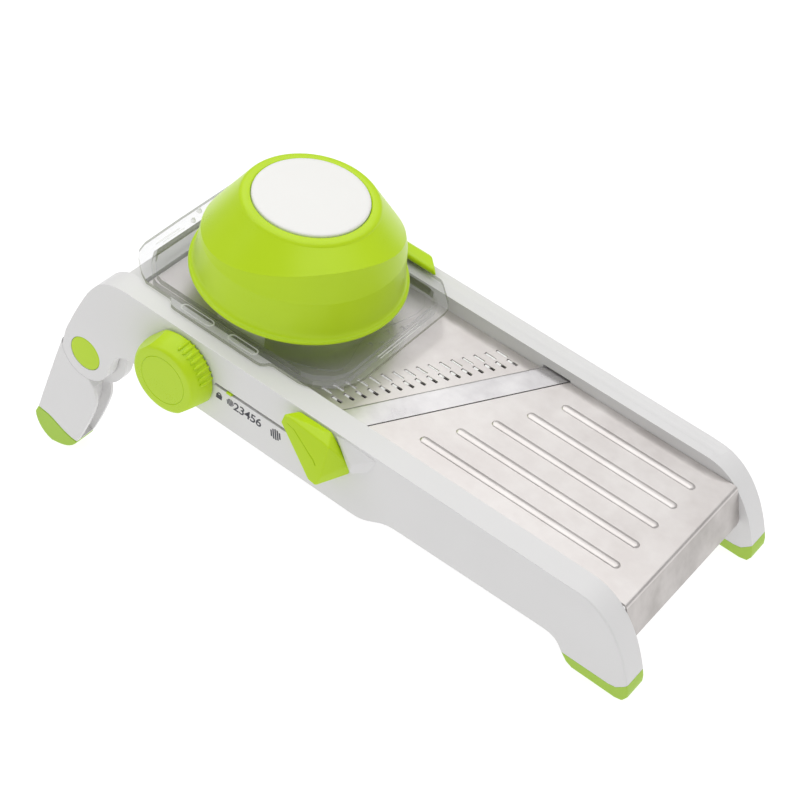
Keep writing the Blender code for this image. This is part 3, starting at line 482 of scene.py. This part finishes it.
STEEL = sheet_steel("satin_steel", (0.60, 0.565, 0.55, 1), (0.70, 0.67, 0.655, 1), 0.34, 0.8)
side = INNER - 0.3 * MM
profile = [(-182 * MM, 0)] + arc((-2.2 * MM, -2.2 * MM), 2.2 * MM, 90, 20, 8) + [(6.6 * MM, -20.2 * MM)]
plate = draw("landing_sheet", [(x, -side, z) for x, z in profile])
bpy.ops.mesh.select_all(action="SELECT")
bpy.ops.mesh.extrude_region_move(TRANSFORM_OT_translate={"value": (0, 2 * side, 0)})
bpy.ops.mesh.select_all(action="SELECT")
cut_at = Vector((edge_line(0) + 16.1 * MM, 0, 0))
bpy.ops.mesh.bisect(plane_co=cut_at, plane_no=Vector((-1, SKEW, 0)).normalized(), clear_outer=True)
close(plate)
apply(plate, "SOLIDIFY", thickness=SHEET, offset=-1 if plate.data.polygons[0].normal.z > 0 else 1)
mesh = edit(plate, "EDGE")
for edge in mesh.edges:
    a, b = (v.co for v in edge.verts)
    thick = abs(a.y - b.y) < 0.01 * MM and (a - b).length < 1.5 * MM
    edge.select = thick and min(a.z, b.z) < -19 * MM
bpy.ops.mesh.bevel(offset=2.2 * MM, segments=4, affect="EDGES")
close(plate)


def pressed_rib(y):
    """A long low dome with round ends, stretched from a flattened ball."""
    start, stop = edge_line(y) + 34.6 * MM, -18.2 * MM
    bpy.ops.object.select_all(action="DESELECT")
    bpy.ops.mesh.primitive_uv_sphere_add(segments=28, ring_count=14, radius=2.5 * MM,
                                         location=(start, y, 0))
    dome = bpy.context.object
    bpy.ops.object.transform_apply(location=True, rotation=False, scale=False)
    mesh = edit(dome)
    bpy.ops.mesh.select_all(action="SELECT")
    bpy.ops.transform.resize(value=(1, 1, 0.40), center_override=(start, y, 0))
    bpy.ops.mesh.select_all(action="DESELECT")
    for vert in mesh.verts:
        vert.select = vert.co.x > start + 0.01 * MM
    mesh.select_flush(True)
    bpy.ops.transform.translate(value=(stop - start, 0, 0))
    return close(dome)


FIRST_RIB, RIB_PITCH = -34.3, 17.26
for i in range(5):
    combine(plate, "UNION", pressed_rib((FIRST_RIB + RIB_PITCH * i) * MM))
soften(plate, 0.12 * MM, 1, 50)
# The bent-down lip faces away from the light above, so it takes a darker copy of the steel: painted
# shade.
bent = [face.normal.x > 0.8 and face.center.x > 0 for face in plate.data.polygons]
lay(plate, "frame", STEEL, "satin_steel", "landing_plate", smooth=40)
lip_shade_steel = sheet_steel("lip_painted_shade_steel", (0.42, 0.395, 0.38, 1), (0.60, 0.57, 0.555, 1), 0.38, 0.8)
plate.data.materials.append(lip_shade_steel)
for face, down in zip(plate.data.polygons, bent):
    face.material_index = int(down)

# ---- Ramp and julienne combs -----------------------------------------------------------------
# The hinged upper sheet, a slice's thickness below the blade. Two rows of slots let two combs
# of ground teeth through; the front row's teeth fill only the rear half of their slots.
half = INNER - 0.6 * MM
top = -1.6 * MM
lip = -0.7 * MM
corners = [(-295 * MM, -half, top), (edge_line(-half) + lip, -half, top),
           (edge_line(half) + lip, half, top), (-295 * MM, half, top)]
ramp = slab("ramp_sheet", corners, (0, 0, -SHEET))
SLOT_PITCH = 5.7 * MM


def slot_row(name, first, last, width, y0, count, low, high):
    """One upright block in each slot, joined into one piece."""
    blocks = []
    for i in range(count):
        y = y0 + SLOT_PITCH * i
        base = edge_line(y)
        nip = min(0.35 * MM, width / 3)
        outline = [(first + nip, -width), (last - nip, -width), (last, -width + nip),
                   (last, width - nip), (last - nip, width), (first + nip, width),
                   (first, width - nip), (first, -width + nip)]
        blocks.append(slab(name, [(base + a, y + b, low) for a, b in outline], (0, 0, high - low)))
    only(*blocks)
    bpy.ops.object.join()
    return blocks[0]


REAR_SLOTS = (-46.05 * MM, 17)
FRONT_SLOTS = (-41.75 * MM, 16)
through = (top - 3 * MM, top + MM)
combine(ramp, "DIFFERENCE",
        slot_row("slots", -20.8 * MM, -14.2 * MM, 0.75 * MM, *REAR_SLOTS, *through),
        slot_row("slots", -12.4 * MM, -6.1 * MM, 0.82 * MM, *FRONT_SLOTS, *through))
soften(ramp, 0.1 * MM, 1, 50)
lay(ramp, "ramp", STEEL, "satin_steel", "ramp_plate", smooth=40)

BLADE_STEEL = sheet_steel("blade_steel", (0.50, 0.485, 0.495, 1), (0.70, 0.685, 0.69, 1), 0.30, 0.9)
# The teeth are painted nearly white and barely metallic: a painted highlight for the light they catch
# down in the slots.
HIGHLIT_TOOTH_STEEL = sheet_steel("tooth_steel_painted_highlight", (0.93, 0.93, 0.93, 1), (0.98, 0.98, 0.98, 1), 0.45, 0.15)
# Near-black: painted shade. It goes under the teeth and inside the scale's slot so that these read as
# deep holes.
SHADE_BLACK = moulded("painted_shade_black", (0.012, 0.012, 0.012, 1), (0.02, 0.02, 0.018, 1), 0.7, 0.01 * MM)
TOOTH_TOP = top - 0.45 * MM     # low enough for a raised comb to clear the tray
for word, first, last, wide, row, a0, a1 in (("rear", -20.5, -14.5, 0.48, REAR_SLOTS, -21.6, -13.4),
                                             ("front", -12.1, -9.4, 0.62, FRONT_SLOTS, -13.0, -5.6)):
    shifted = (row[0] + 0.18 * MM, row[1])
    teeth = slot_row(word + "_teeth", first * MM, last * MM, wide * MM, *shifted, -9.6 * MM,
                     TOOTH_TOP)
    lay(teeth, word + "_comb_set", HIGHLIT_TOOTH_STEEL, "blade_steel", word + "_comb")
    middle = row[0] + SLOT_PITCH * (row[1] - 1) / 2
    reach = SLOT_PITCH * row[1] / 2
    # Each comb's base strip is near-black: painted shade down in the slots.
    strip = skew_box(word + "_comb_strip", (a0 * MM, a1 * MM), (middle - reach, middle + reach),
                     (-13 * MM, -7.2 * MM))
    lay(strip, word + "_comb_set", SHADE_BLACK, "grey_plastic")

# ---- Blade and its handle --------------------------------------------------------------------
# A ground steel strip set at a slant. The lime handle draws it out of the near rail; it has one
# broad slanting face with a finger ledge marked off down its rear edge, and a nip at its tip.
near, far = -OUTER - 3.2 * MM, INNER + 2.5 * MM
section = [(0, -0.45), (0.9, -0.06), (1.6, 0), (15.4, 0), (15.4, -1.2), (3.0, -1.2)]
strip = slab("slicing_blade", [(edge_line(near) + a * MM, near, w * MM) for a, w in section],
             (SKEW * (far - near), far - near, 0))
lay(strip, "blade_set", BLADE_STEEL, "blade_steel", "main_blade", smooth=8)

handle = faceted("pull_handle", [(-180.6, -66.5, 4.8), (-160.8, -66.5, 5.0), (-147.5, -66.5, -7.6),
                                 (-146.9, -66.5, -13.3), (-160, -66.5, -24), (-182, -66.5, -4),
                                 (-184.5, -73.5, 5), (-185.6, -74, -0.9), (-161.5, -80, -18),
                                 (-156.5, -80.3, -18.6), (-154.8, -79.3, -12), (-155.2, -78, -9.4),
                                 (-156.6, -74.4, 3.7), (-163.5, -70, 5.8)])
soften(handle, 0.8 * MM, 3, 10)
fold = [(-181.6, -74.2, 1.2), (-177.2, -74.7, 1.1), (-162.1, -77.0, -6.7), (-159.6, -77.6, -8.8)]
for start, stop in zip(fold, fold[1:]):
    line = faceted("ledge_line", [(u + du, y + dy, w + dw) for u, y, w in (start, stop)
                                  for du, dy, dw in ((-0.3, -1.5, -0.3), (0.3, -1.5, 0.3), (0, 0.6, 0))])
    combine(handle, "DIFFERENCE", line)
lay(handle, "blade_set", LIME, "green_plastic", "blade_handle", smooth=28)

# ---- Thickness knob --------------------------------------------------------------------------
# A lime moulding on the shaft's end: two flats pinch it, finger ribs run round the two full
# sides, and a flat disc is snapped over its screw.
face = -OUTER - 0.3 * MM
knob_side = [(0, 13.1), (13.4, 13.1), (13.6, 12.8), (13.9, 13.1), (17.4, 13.1), (18.3, 12.9),
             (19.0, 12.4), (19.7, 11.4), (20.6, 9.4), (21.4, 7.0), (21.8, 4.6), (22.0, 2.4),
             (21.8, 0.8), (21.0, 0), (0, 0)]
knob = turn("dial_knob", [(r * MM, face - depth * MM) for r, depth in knob_side],
            (KNOB.x, 0, KNOB.z), "Y", 128)
PINCH = math.radians(140)
for turned in (0, math.pi):
    aside = Vector((math.cos(PINCH + turned), 0, math.sin(PINCH + turned)))
    flat = (aside + Vector((0, -0.15, 0))).normalized()
    edit(knob)
    bpy.ops.mesh.select_all(action="SELECT")
    bpy.ops.mesh.bisect(plane_co=KNOB + aside * 20.5 * MM + Vector((0, face, 0)), plane_no=flat,
                        use_fill=True, clear_outer=True)
    close(knob)
soften(knob, 0.8 * MM, 3, 24)


RIB_CIRCLE = 21.5 * MM


def finger_rib(angle):
    """One rib: a slim round bar along the knob's side, its ends drawn in."""
    bpy.ops.object.select_all(action="DESELECT")
    bpy.ops.mesh.primitive_uv_sphere_add(segments=12, ring_count=10, radius=1.1 * MM)
    rib = bpy.context.object
    bpy.ops.object.mode_set(mode="EDIT")
    bpy.ops.mesh.select_all(action="SELECT")
    bpy.ops.transform.resize(value=(1, 4.4, 1), center_override=(0, 0, 0))
    bpy.ops.transform.translate(value=(KNOB.x + RIB_CIRCLE * math.cos(angle), face - 4.3 * MM,
                                       KNOB.z + RIB_CIRCLE * math.sin(angle)))
    return close(rib)


for patch in (0, 180):
    for i in range(8):
        combine(knob, "UNION", finger_rib(math.radians(patch + 20 + 8.4 * i)))
lay(knob, "adjuster", LIME, "green_plastic", "thickness_knob", "knob_face", smooth=32)

# ---- Scale -----------------------------------------------------------------------------------
# Printed on the near rail under the slot: a lock, a fine and a coarse comb sign and thicknesses
# in millimetres. A lime pointer runs in the slot.
INK = moulded("scale_ink", (0.035, 0.035, 0.05, 1), (0.05, 0.05, 0.065, 1), 0.5, 0.002 * MM)
INK_THICK = 0.05 * MM
# A near-black strip inside the slot: painted shade.
shade = slab("slot_shade", side_view([(-233, -16), (-184, -16), (-184, -11), (-233, -11)],
                                     -OUTER + 2.1 * MM), (0, 0.3 * MM, 0))
lay(shade, "frame", SHADE_BLACK, "grey_plastic")
FIRST_DIGIT, DIGIT_PITCH = -217.0, 3.55


def print_sign(pieces, name):
    """Join a sign's pieces and print it on the rail."""
    only(*pieces)
    if len(pieces) > 1:
        bpy.ops.object.join()
    sign = pieces[0]
    sign.name = name
    lay(sign, "frame", INK, "grey_plastic")


def digit(text, x):
    """A figure cut from the plain font, made bolder and stood on the rail's face."""
    bpy.ops.object.select_all(action="DESELECT")
    bpy.ops.object.text_add(location=(0, 0, 0))
    figure = bpy.context.object
    figure.data.body = text
    figure.data.size = 7.1 * MM
    figure.data.offset = 0.09 * MM
    figure.data.extrude = INK_THICK
    figure.data.align_x = "CENTER"
    figure.data.align_y = "CENTER"
    bpy.ops.object.convert(target="MESH")
    stand = Matrix.Rotation(math.pi / 2, 4, "X") @ Matrix.Diagonal((1.06, 1, 1, 1))
    figure.data.transform(Matrix.Translation((x, -OUTER, -20.0 * MM)) @ stand)
    return figure


for i, text in enumerate("23456"):
    print_sign([digit(text, (FIRST_DIGIT + DIGIT_PITCH * i) * MM)], "figure_" + text)


def hatch(x, z, radius, count, lean):
    """A round comb sign made of slanting bars, each as long as its chord."""
    bars = []
    for i in range(count):
        offset = radius * (2 * (i + 0.5) / count - 1)
        reach = math.sqrt(radius * radius - offset * offset)
        wide = radius / count * 0.66
        corners = [(offset - wide, -reach), (offset + wide, -reach), (offset + wide, reach),
                   (offset - wide, reach)]
        turned = [(x + a * math.cos(lean) - b * math.sin(lean),
                   z + a * math.sin(lean) + b * math.cos(lean)) for a, b in corners]
        outline = [(a, -OUTER - INK_THICK, b) for a, b in turned]
        bars.append(slab("bar", outline, (0, 2 * INK_THICK, 0)))
    return bars


print_sign(hatch(-221.0 * MM, -19.3 * MM, 2.2 * MM, 5, 0.3), "fine_sign")
print_sign(hatch(-192.0 * MM, -20.3 * MM, 3.3 * MM, 5, 0.24), "coarse_sign")
lock_view = [(-229.9, -21.6), (-226.2, -21.6), (-226.2, -18.9), (-229.9, -18.9)]
lock = slab("lock_body", side_view(lock_view, -OUTER - INK_THICK), (0, 2 * INK_THICK, 0))
hoop = arc((-228.05, -18.95), 1.45, 0, 180, 10) + arc((-228.05, -18.95), 0.75, 180, 0, 10)
shackle = slab("lock_hoop", side_view(hoop, -OUTER - INK_THICK), (0, 2 * INK_THICK, 0))
print_sign([lock, shackle], "lock_sign")

# ---- Hand cup --------------------------------------------------------------------------------
# A lime bowl upside down over the food: a flared lip, a nearly upright skirt, and a cone whose
# near and right side is set back in a crescent. Its inside has a painted glow, a faint emission
# for the light from above that passes through its wall. A white disc closes its top.
CUP = (-236.5 * MM, 0, 17.8 * MM)
SKIRT, CREASE = (52.0, 17.6), (51.7, 18.4)
cup_side = [(29.8, 44.9), (29.8, 46.4), (30.3, 46.9), (31.4, 47.0)]
cup_side += bend((31.4, 47.0), (33.4, 47.0), (34.6, 46.9), (35.6, 45.2), 12)
cup_side += [CREASE, SKIRT, (53.2, 6.2)]
cup_side += bend((53.2, 6.2), (53.6, 3.6), (54.2, 2.7), (55.2, 2.5), 12)
cup_side += arc((54.8, 1.4), 1.1, 70, -80, 16) + [(54.4, 0)]
cup_inside = [(52.6, 2.2), (52, 5.2), (49.8, 17), (48.3, 24.4), (34.0, 42.4), (7, 42.4), (7, 18.2),
              (4.4, 18.2), (4.4, 41.8), (0, 41.8)]
cup_profile = [(0, 44.9)] + cup_side + cup_inside
bowl = turn("cup_bowl", [(r * MM, h * MM) for r, h in cup_profile], CUP, "Z", 160)
mesh = edit(bowl)
for vert in mesh.verts:
    across = Vector((vert.co.x - CUP[0], vert.co.y))
    r, h = across.length / MM, (vert.co.z - CUP[2]) / MM
    if abs(r - SKIRT[0]) > 0.4 or h < 17 or h > 19:
        continue
    angle = math.atan2(across.y, across.x)
    height = 21.5 + 2.2 * math.cos(angle)
    radius = SKIRT[0] - 0.12 * (height - SKIRT[1])
    if h > 18:                  # the upper ring climbs on the near right side
        share = ((1 + math.cos(angle + math.radians(32))) / 2) ** 2.8
        height += 15 * share + 0.5
        radius -= 4.6 * share + 0.1
    vert.co.x = CUP[0] + radius * MM * math.cos(angle)
    vert.co.y = radius * MM * math.sin(angle)
    vert.co.z = CUP[2] + height * MM
close(bowl)
inner_side = []
for face in bowl.data.polygons:
    outwards = Vector((face.center.x - CUP[0], face.center.y, 0)).normalized()
    inner_side.append(face.normal.dot(outwards) < -0.2 and face.center.z < CUP[2] + 44 * MM)
lay(bowl, "cup", LIME, "green_plastic", "hand_cup", smooth=8)
# The inner faces take a copy of the lime with a faint emission: a painted glow.
GLOW_LIME = moulded("lime_plastic_painted_glow", *LIME_SHADES, 0.30, 0.008 * MM, Specular_IOR_Level=0.35,
                   Emission_Color=(0.56, 0.74, 0.10, 1), Emission_Strength=0.38)
bowl.data.materials.append(GLOW_LIME)
for face, inner in zip(bowl.data.polygons, inner_side):
    face.material_index = int(inner)
CAP_WHITE = moulded("cap_white", (0.83, 0.825, 0.80, 1), (0.86, 0.855, 0.83, 1), 0.34, 0.006 * MM)
dome = [(0, 45.1), (29.5, 45.1), (29.5, 47.0)]
dome += bend((29.5, 47.0), (29.4, 47.8), (28.6, 48.1), (27, 48.15), 5)
top_disc = turn("cup_disc", [(r * MM, h * MM) for r, h in dome + [(0, 48.3)]], CUP, "Z", 96)
lay(top_disc, "cup", CAP_WHITE, "white_plastic", "cup_cap")

# ---- Carriage --------------------------------------------------------------------------------
# A clear moulding that slides on the rails: a thin flange with a grip tab on the near side, a
# shallow stepped pan and the round throat that holds the food, with small studs that grip it.
low, high = RAIL_TOP + 0.4 * MM, RAIL_TOP + 2.4 * MM


def clear_finish(name, cover, slanted, colour, see_through):
    """Clear polished plastic: mostly seen through, denser and glossier where it turns away."""
    made, wire, shader = start_finish(name, Roughness=0.08)
    haze = grain(wire, 12 * MM, 3.0)
    deeper = tuple(0.94 * c for c in colour[:3]) + (1,)
    feed(wire, shader, Base_Color=tint(wire, haze, colour, deeper))
    slant = wire.node("ShaderNodeLayerWeight", {"Blend": 0.5}, out=1)
    share = cover + slant * slant * slant * slanted + (haze - 0.5) * 0.08
    through = wire.node("ShaderNodeBsdfTransparent", {"Color": see_through})
    body = Wire(made.node_tree, shader.outputs[0])
    mixed = wire.node("ShaderNodeMixShader", {0: share, 1: through, 2: body})
    out = made.node_tree.nodes["Material Output"]
    made.node_tree.links.new(mixed.socket, out.inputs["Surface"])
    return made


CLEAR = clear_finish("clear_plastic", 0.08, 0.32, (0.84, 0.84, 0.85, 1), (0.945, 0.945, 0.95, 1))
# The steep outer sides of the flange and pan are dark olive and denser: painted shade for the dark edges
# of the clear plastic.
CLEAR_EDGE_SHADE = clear_finish("clear_plastic_edge_painted_shade", 0.48, 0.3, (0.24, 0.26, 0.16, 1),
                          (0.88, 0.89, 0.85, 1))
# The raised ridges and studs are near-white and denser: painted highlights.
CLEAR_RIDGE_GLINT = clear_finish("clear_plastic_ridge_painted_highlight", 0.5, 0.4, (0.95, 0.95, 0.94, 1),
                           (0.98, 0.98, 0.98, 1))
flange = [(-309.9, -5), (-309.4, -32.8), (-307.7, -39), (-304.4, -43.3), (-295.8, -50.6),
          (-289.5, -54.1), (-274.0, -54.1), (-272.3, -54.9), (-271, -56.6), (-269.6, -58.1),
          (-266.9, -58.6), (-214.6, -58.6), (-212.3, -58.2), (-210.8, -56.8), (-209.4, -55),
          (-207.6, -54.1), (-192.2, -54.1), (-188.6, -53.2), (-181.6, -48.9), (-174.2, -40.8),
          (-171.4, -35), (-170.8, -28), (-170.8, 38.6), (-171.6, 43), (-174.4, 46.6),
          (-184.9, 56.3), (-187, 57.5), (-300, 57.5), (-304, 55), (-309.9, 46)]
tray = slab("tray_flange", [(a * MM, b * MM, low) for a, b in flange], (0, 0, high - low))
pan_view = [(-303, -33), (-300, -38), (-290, -48), (-286, -49.5), (-194, -49.5), (-188, -47.5),
            (-180, -40), (-177, -33), (-177, 40), (-178.5, 43.5), (-185, 49), (-188, 49.5),
            (-296, 49.5), (-303, 42)]
step_view = [(-296, -32), (-288, -42.5), (-284, -44.6), (-222, -47.6), (-214, -46.8), (-192.4, -37.0),
             (-186, -32), (-184.2, -28), (-185, -22), (-189.6, -7), (-190.2, -1), (-189.4, 5),
             (-184, 24), (-182.6, 31), (-182.8, 38), (-188, 46), (-292, 46), (-297.5, 40)]


def shrink(points, wall):
    """The outline drawn in by about one wall."""
    return [(-240 + (a + 240) * (1 - wall / 60), b * (1 - wall / 48)) for a, b in points]


pan = slab("pan_outside", [(a * MM, b * MM, 2 * MM) for a, b in pan_view],
           (0, 0, high - 0.6 * MM - 2 * MM))
room = slab("pan_inside", [(a * MM, b * MM, 4.4 * MM) for a, b in shrink(pan_view, 1.4)], (0, 0, 8 * MM))
step = slab("pan_step", [(a * MM, b * MM, 3.3 * MM) for a, b in step_view], (0, 0, 8 * MM))
soften(room, 1.3 * MM, 3, 60)
soften(step, 0.5 * MM, 2, 60)
centre = (CUP[0], 0, 0)
wall = [(0, 2), (46, 2), (46, 18.2), (42, 18.2), (42, 45.6), (41.6, 46), (0, 46)]
throat = turn("throat", [(r * MM, h * MM) for r, h in wall], centre, "Z", 96)
wall = [(0, 0), (39.5, 0), (39.5, 48), (0, 48)]
mouth = turn("mouth", [(r * MM, h * MM) for r, h in wall], centre, "Z", 96)
combine(tray, "UNION", pan)
combine(tray, "DIFFERENCE", room, step)
combine(tray, "UNION", throat)
combine(tray, "DIFFERENCE", mouth)
soften(tray, 0.35 * MM, 2, 50)


def ridge(outline, width, height, floor):
    """A raised line that follows a closed outline."""
    outer = slab("ridge", [(a * MM, b * MM, floor * MM - 0.1 * MM) for a, b in outline],
                 (0, 0, (height + 0.1) * MM))
    middle = [sum(p[k] for p in outline) / len(outline) for k in range(2)]
    drawn_in = []
    for a, b in outline:
        reach = math.hypot(a - middle[0], b - middle[1])
        drawn_in.append((a + (middle[0] - a) * width / reach, b + (middle[1] - b) * width * 1.1 / reach))
    inner = slab("ridge_in", [(a * MM, b * MM, floor * MM - MM) for a, b in drawn_in], (0, 0, 3 * MM))
    return combine(outer, "DIFFERENCE", inner)


def pill(x0, x1, y0, y1):
    """A long outline with half-round ends."""
    r = (y1 - y0) / 2
    return arc((x1 - r, y0 + r), r, -90, 90, 10) + arc((x0 + r, y0 + r), r, 90, 270, 10)


relief = [ridge(pill(-265.5, -245, -57.2, -52.4), 0.9, 0.45, high / MM),
          ridge(pill(-235.4, -217.2, -57.0, -52.2), 0.9, 0.45, high / MM)]
for u, y, floor in ((-189.0, 2.6, 3.3), (-184.0, 8.2, 4.4), (-181.0, -0.6, 4.4), (-185.0, 14.6, 4.4),
                    (-180.6, 15.6, 4.4), (-178.9, 7.0, 4.4), (-184.6, -5.6, 4.4), (-306.6, 5.8, 8.5),
                    (-303.6, -2.4, 8.5)):
    stud = [(0, -0.2), (1.5, -0.2), (1.3, 0.9), (0.8, 2.0), (0.35, 2.35), (0, 2.4)]
    profile = [(r * MM, (floor + h) * MM) for r, h in stud]
    relief.append(turn("stud", profile, (u * MM, y * MM, 0), "Z", 16))
for u, y0, y1 in ((-175.2, -13, 21), (-173.6, -13, 21), (-304.8, -30, -12), (-303.2, -26, -10)):
    outline = [(u, y0), (u + 0.5, y0), (u + 0.5, y1), (u, y1)]
    relief.append(slab("fine_ridge", [(a * MM, b * MM, high - 0.1 * MM) for a, b in outline],
                       (0, 0, 0.45 * MM)))
combine(tray, "UNION", *relief)
# Steep outer sides take the painted edge shade, and raised ridges and studs take the painted highlights.
finish_of = []
for face in tray.data.polygons:
    away = max(abs(face.center.y), abs(face.center.x - CUP[0]) * 0.75)
    rim = abs(face.normal.z) < 0.75 and face.center.z < 8.45 * MM and away > 47.2 * MM
    raised = face.center.z > high + 0.15 * MM and away > 43.5 * MM
    finish_of.append(2 if raised else int(rim))
lay(tray, "carriage", CLEAR, "clear_plastic", "carriage_tray", smooth=30)
for finish in (CLEAR_EDGE_SHADE, CLEAR_RIDGE_GLINT):
    tray.data.materials.append(finish)
for face, index in zip(tray.data.polygons, finish_of):
    face.material_index = index

# ---- Rail clip -------------------------------------------------------------------------------
# The lime clip on the carriage's far flange hooks over the far rail and keeps the carriage down.
clip_view = [(56.4, 9.1), (66.6, 9.1), (66.6, -1.8), (68.4, -1.8), (68.4, 8.0), (67.4, 9.9),
             (64.4, 12.2), (58, 12.4), (56.4, 11.2)]
clip = slab("carriage_clip", [(-239 * MM, a * MM, b * MM) for a, b in clip_view], (52 * MM, 0, 0))
edit(clip)
bpy.ops.mesh.select_all(action="SELECT")
bpy.ops.mesh.bisect(plane_co=(-189.0 * MM, 58 * MM, 0), plane_no=Vector((1, 1, 0.25)).normalized(),
                    use_fill=True, clear_outer=True)
close(clip)
soften(clip, 1.1 * MM, 4, 30)
notch_view = [(-236.5, 58.4), (-230.6, 58.4), (-231.6, 61), (-236.5, 61)]
notch = slab("clip_notch", [(a * MM, b * MM, 11.4 * MM) for a, b in notch_view], (0, 0, 3 * MM))
combine(clip, "DIFFERENCE", notch)
lay(clip, "carriage", LIME, "green_plastic", "rail_clip")

# ---- Pusher spring ----------------------------------------------------------------------------
# A steel coil between the spiked plate and the cup's top. It stays against the top.
packed = frame["nodes"]["pusher_spring"]
spring = bpy.data.objects.new("pusher_coil", packed.data.copy())
bpy.context.collection.objects.link(spring)
spring.data.transform(packed.matrix_world)
edit(spring)
close(spring)
bpy.ops.object.shade_smooth_by_angle(angle=math.radians(50))
spring.data.materials.clear()
spring.data.materials.append(STEEL)
heights = [out_of_deck.dot(vert.co) for vert in spring.data.vertices]
press = joints["pusher_press"]["range_m"][1]
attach(spring, "cup")
1 - press / (max(heights) - min(heights))
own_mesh(spring)
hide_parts("pusher_spring")

# ---- Inner parts -----------------------------------------------------------------------------
# The bars, pins, shaft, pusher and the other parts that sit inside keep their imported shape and
# take the same plastics and steels as the parts round them.
GREY = moulded("grey_plastic", (0.30, 0.30, 0.31, 1), (0.36, 0.36, 0.37, 1), 0.5, 0.012 * MM)
finishes = {"green_plastic": LIME, "green_rubber": RUBBER, "white_plastic": WHITE,
            "clear_plastic": CLEAR, "satin_steel": STEEL, "blade_steel": BLADE_STEEL,
            "grey_plastic": GREY}
for part in frame["record"]["subparts"]:
    node = frame["nodes"][part["node"]]
    node.data.materials.clear()
    node.data.materials.append(finishes[part["material_slot"]])

# ---- Studio ----------------------------------------------------------------------------------
# A plain white floor that glows like a light table, an even sky and two soft panels.
bpy.ops.object.select_all(action="DESELECT")
bpy.ops.mesh.primitive_plane_add(size=12, location=(0, 0, -0.0005))
floor = bpy.context.object
floor.name = "floor"
paper, wire, shader = start_finish("floor_paper", Roughness=0.9, Emission_Color=(1, 1, 1, 1),
                                   Emission_Strength=0.92)
feed(wire, shader, Base_Color=tint(wire, grain(wire, 0.4), (0.19, 0.19, 0.19, 1),
                                   (0.21, 0.21, 0.21, 1)))
floor.data.materials.append(paper)

world = bpy.data.worlds.new("studio")
bpy.context.scene.world = world
world.use_nodes = True
world.node_tree.nodes["Background"].inputs[0].default_value = (1, 1, 1, 1)
world.node_tree.nodes["Background"].inputs[1].default_value = 0.46


def panel(name, place, aim, size, power):
    """A soft square light that faces a point."""
    light = bpy.data.lights.new(name, "AREA")
    light.size = size
    light.energy = power
    lamp = bpy.data.objects.new(name, light)
    bpy.context.collection.objects.link(lamp)
    lamp.location = place
    lamp.rotation_euler = (Vector(aim) - Vector(place)).to_track_quat("-Z", "Y").to_euler()


panel("overhead", (0.0, 0.2, 1.6), (0, 0, 0.08), 2.4, 23)
panel("left", (-1.2, -0.8, 1.3), (0, 0, 0.08), 0.5, 1.5)

camera = bpy.data.cameras.new("camera")
camera.lens = 91.24
camera.sensor_width = 36
eye = bpy.data.objects.new("camera", camera)
bpy.context.collection.objects.link(eye)
eye.location = DECK.translation + Vector((0.3445, -0.6502, 0.6174))
eye.rotation_euler = [math.radians(angle) for angle in (54.042, 2.487, 36.276)]
bpy.context.scene.camera = eye
bpy.context.scene.view_settings.view_transform = "Standard"
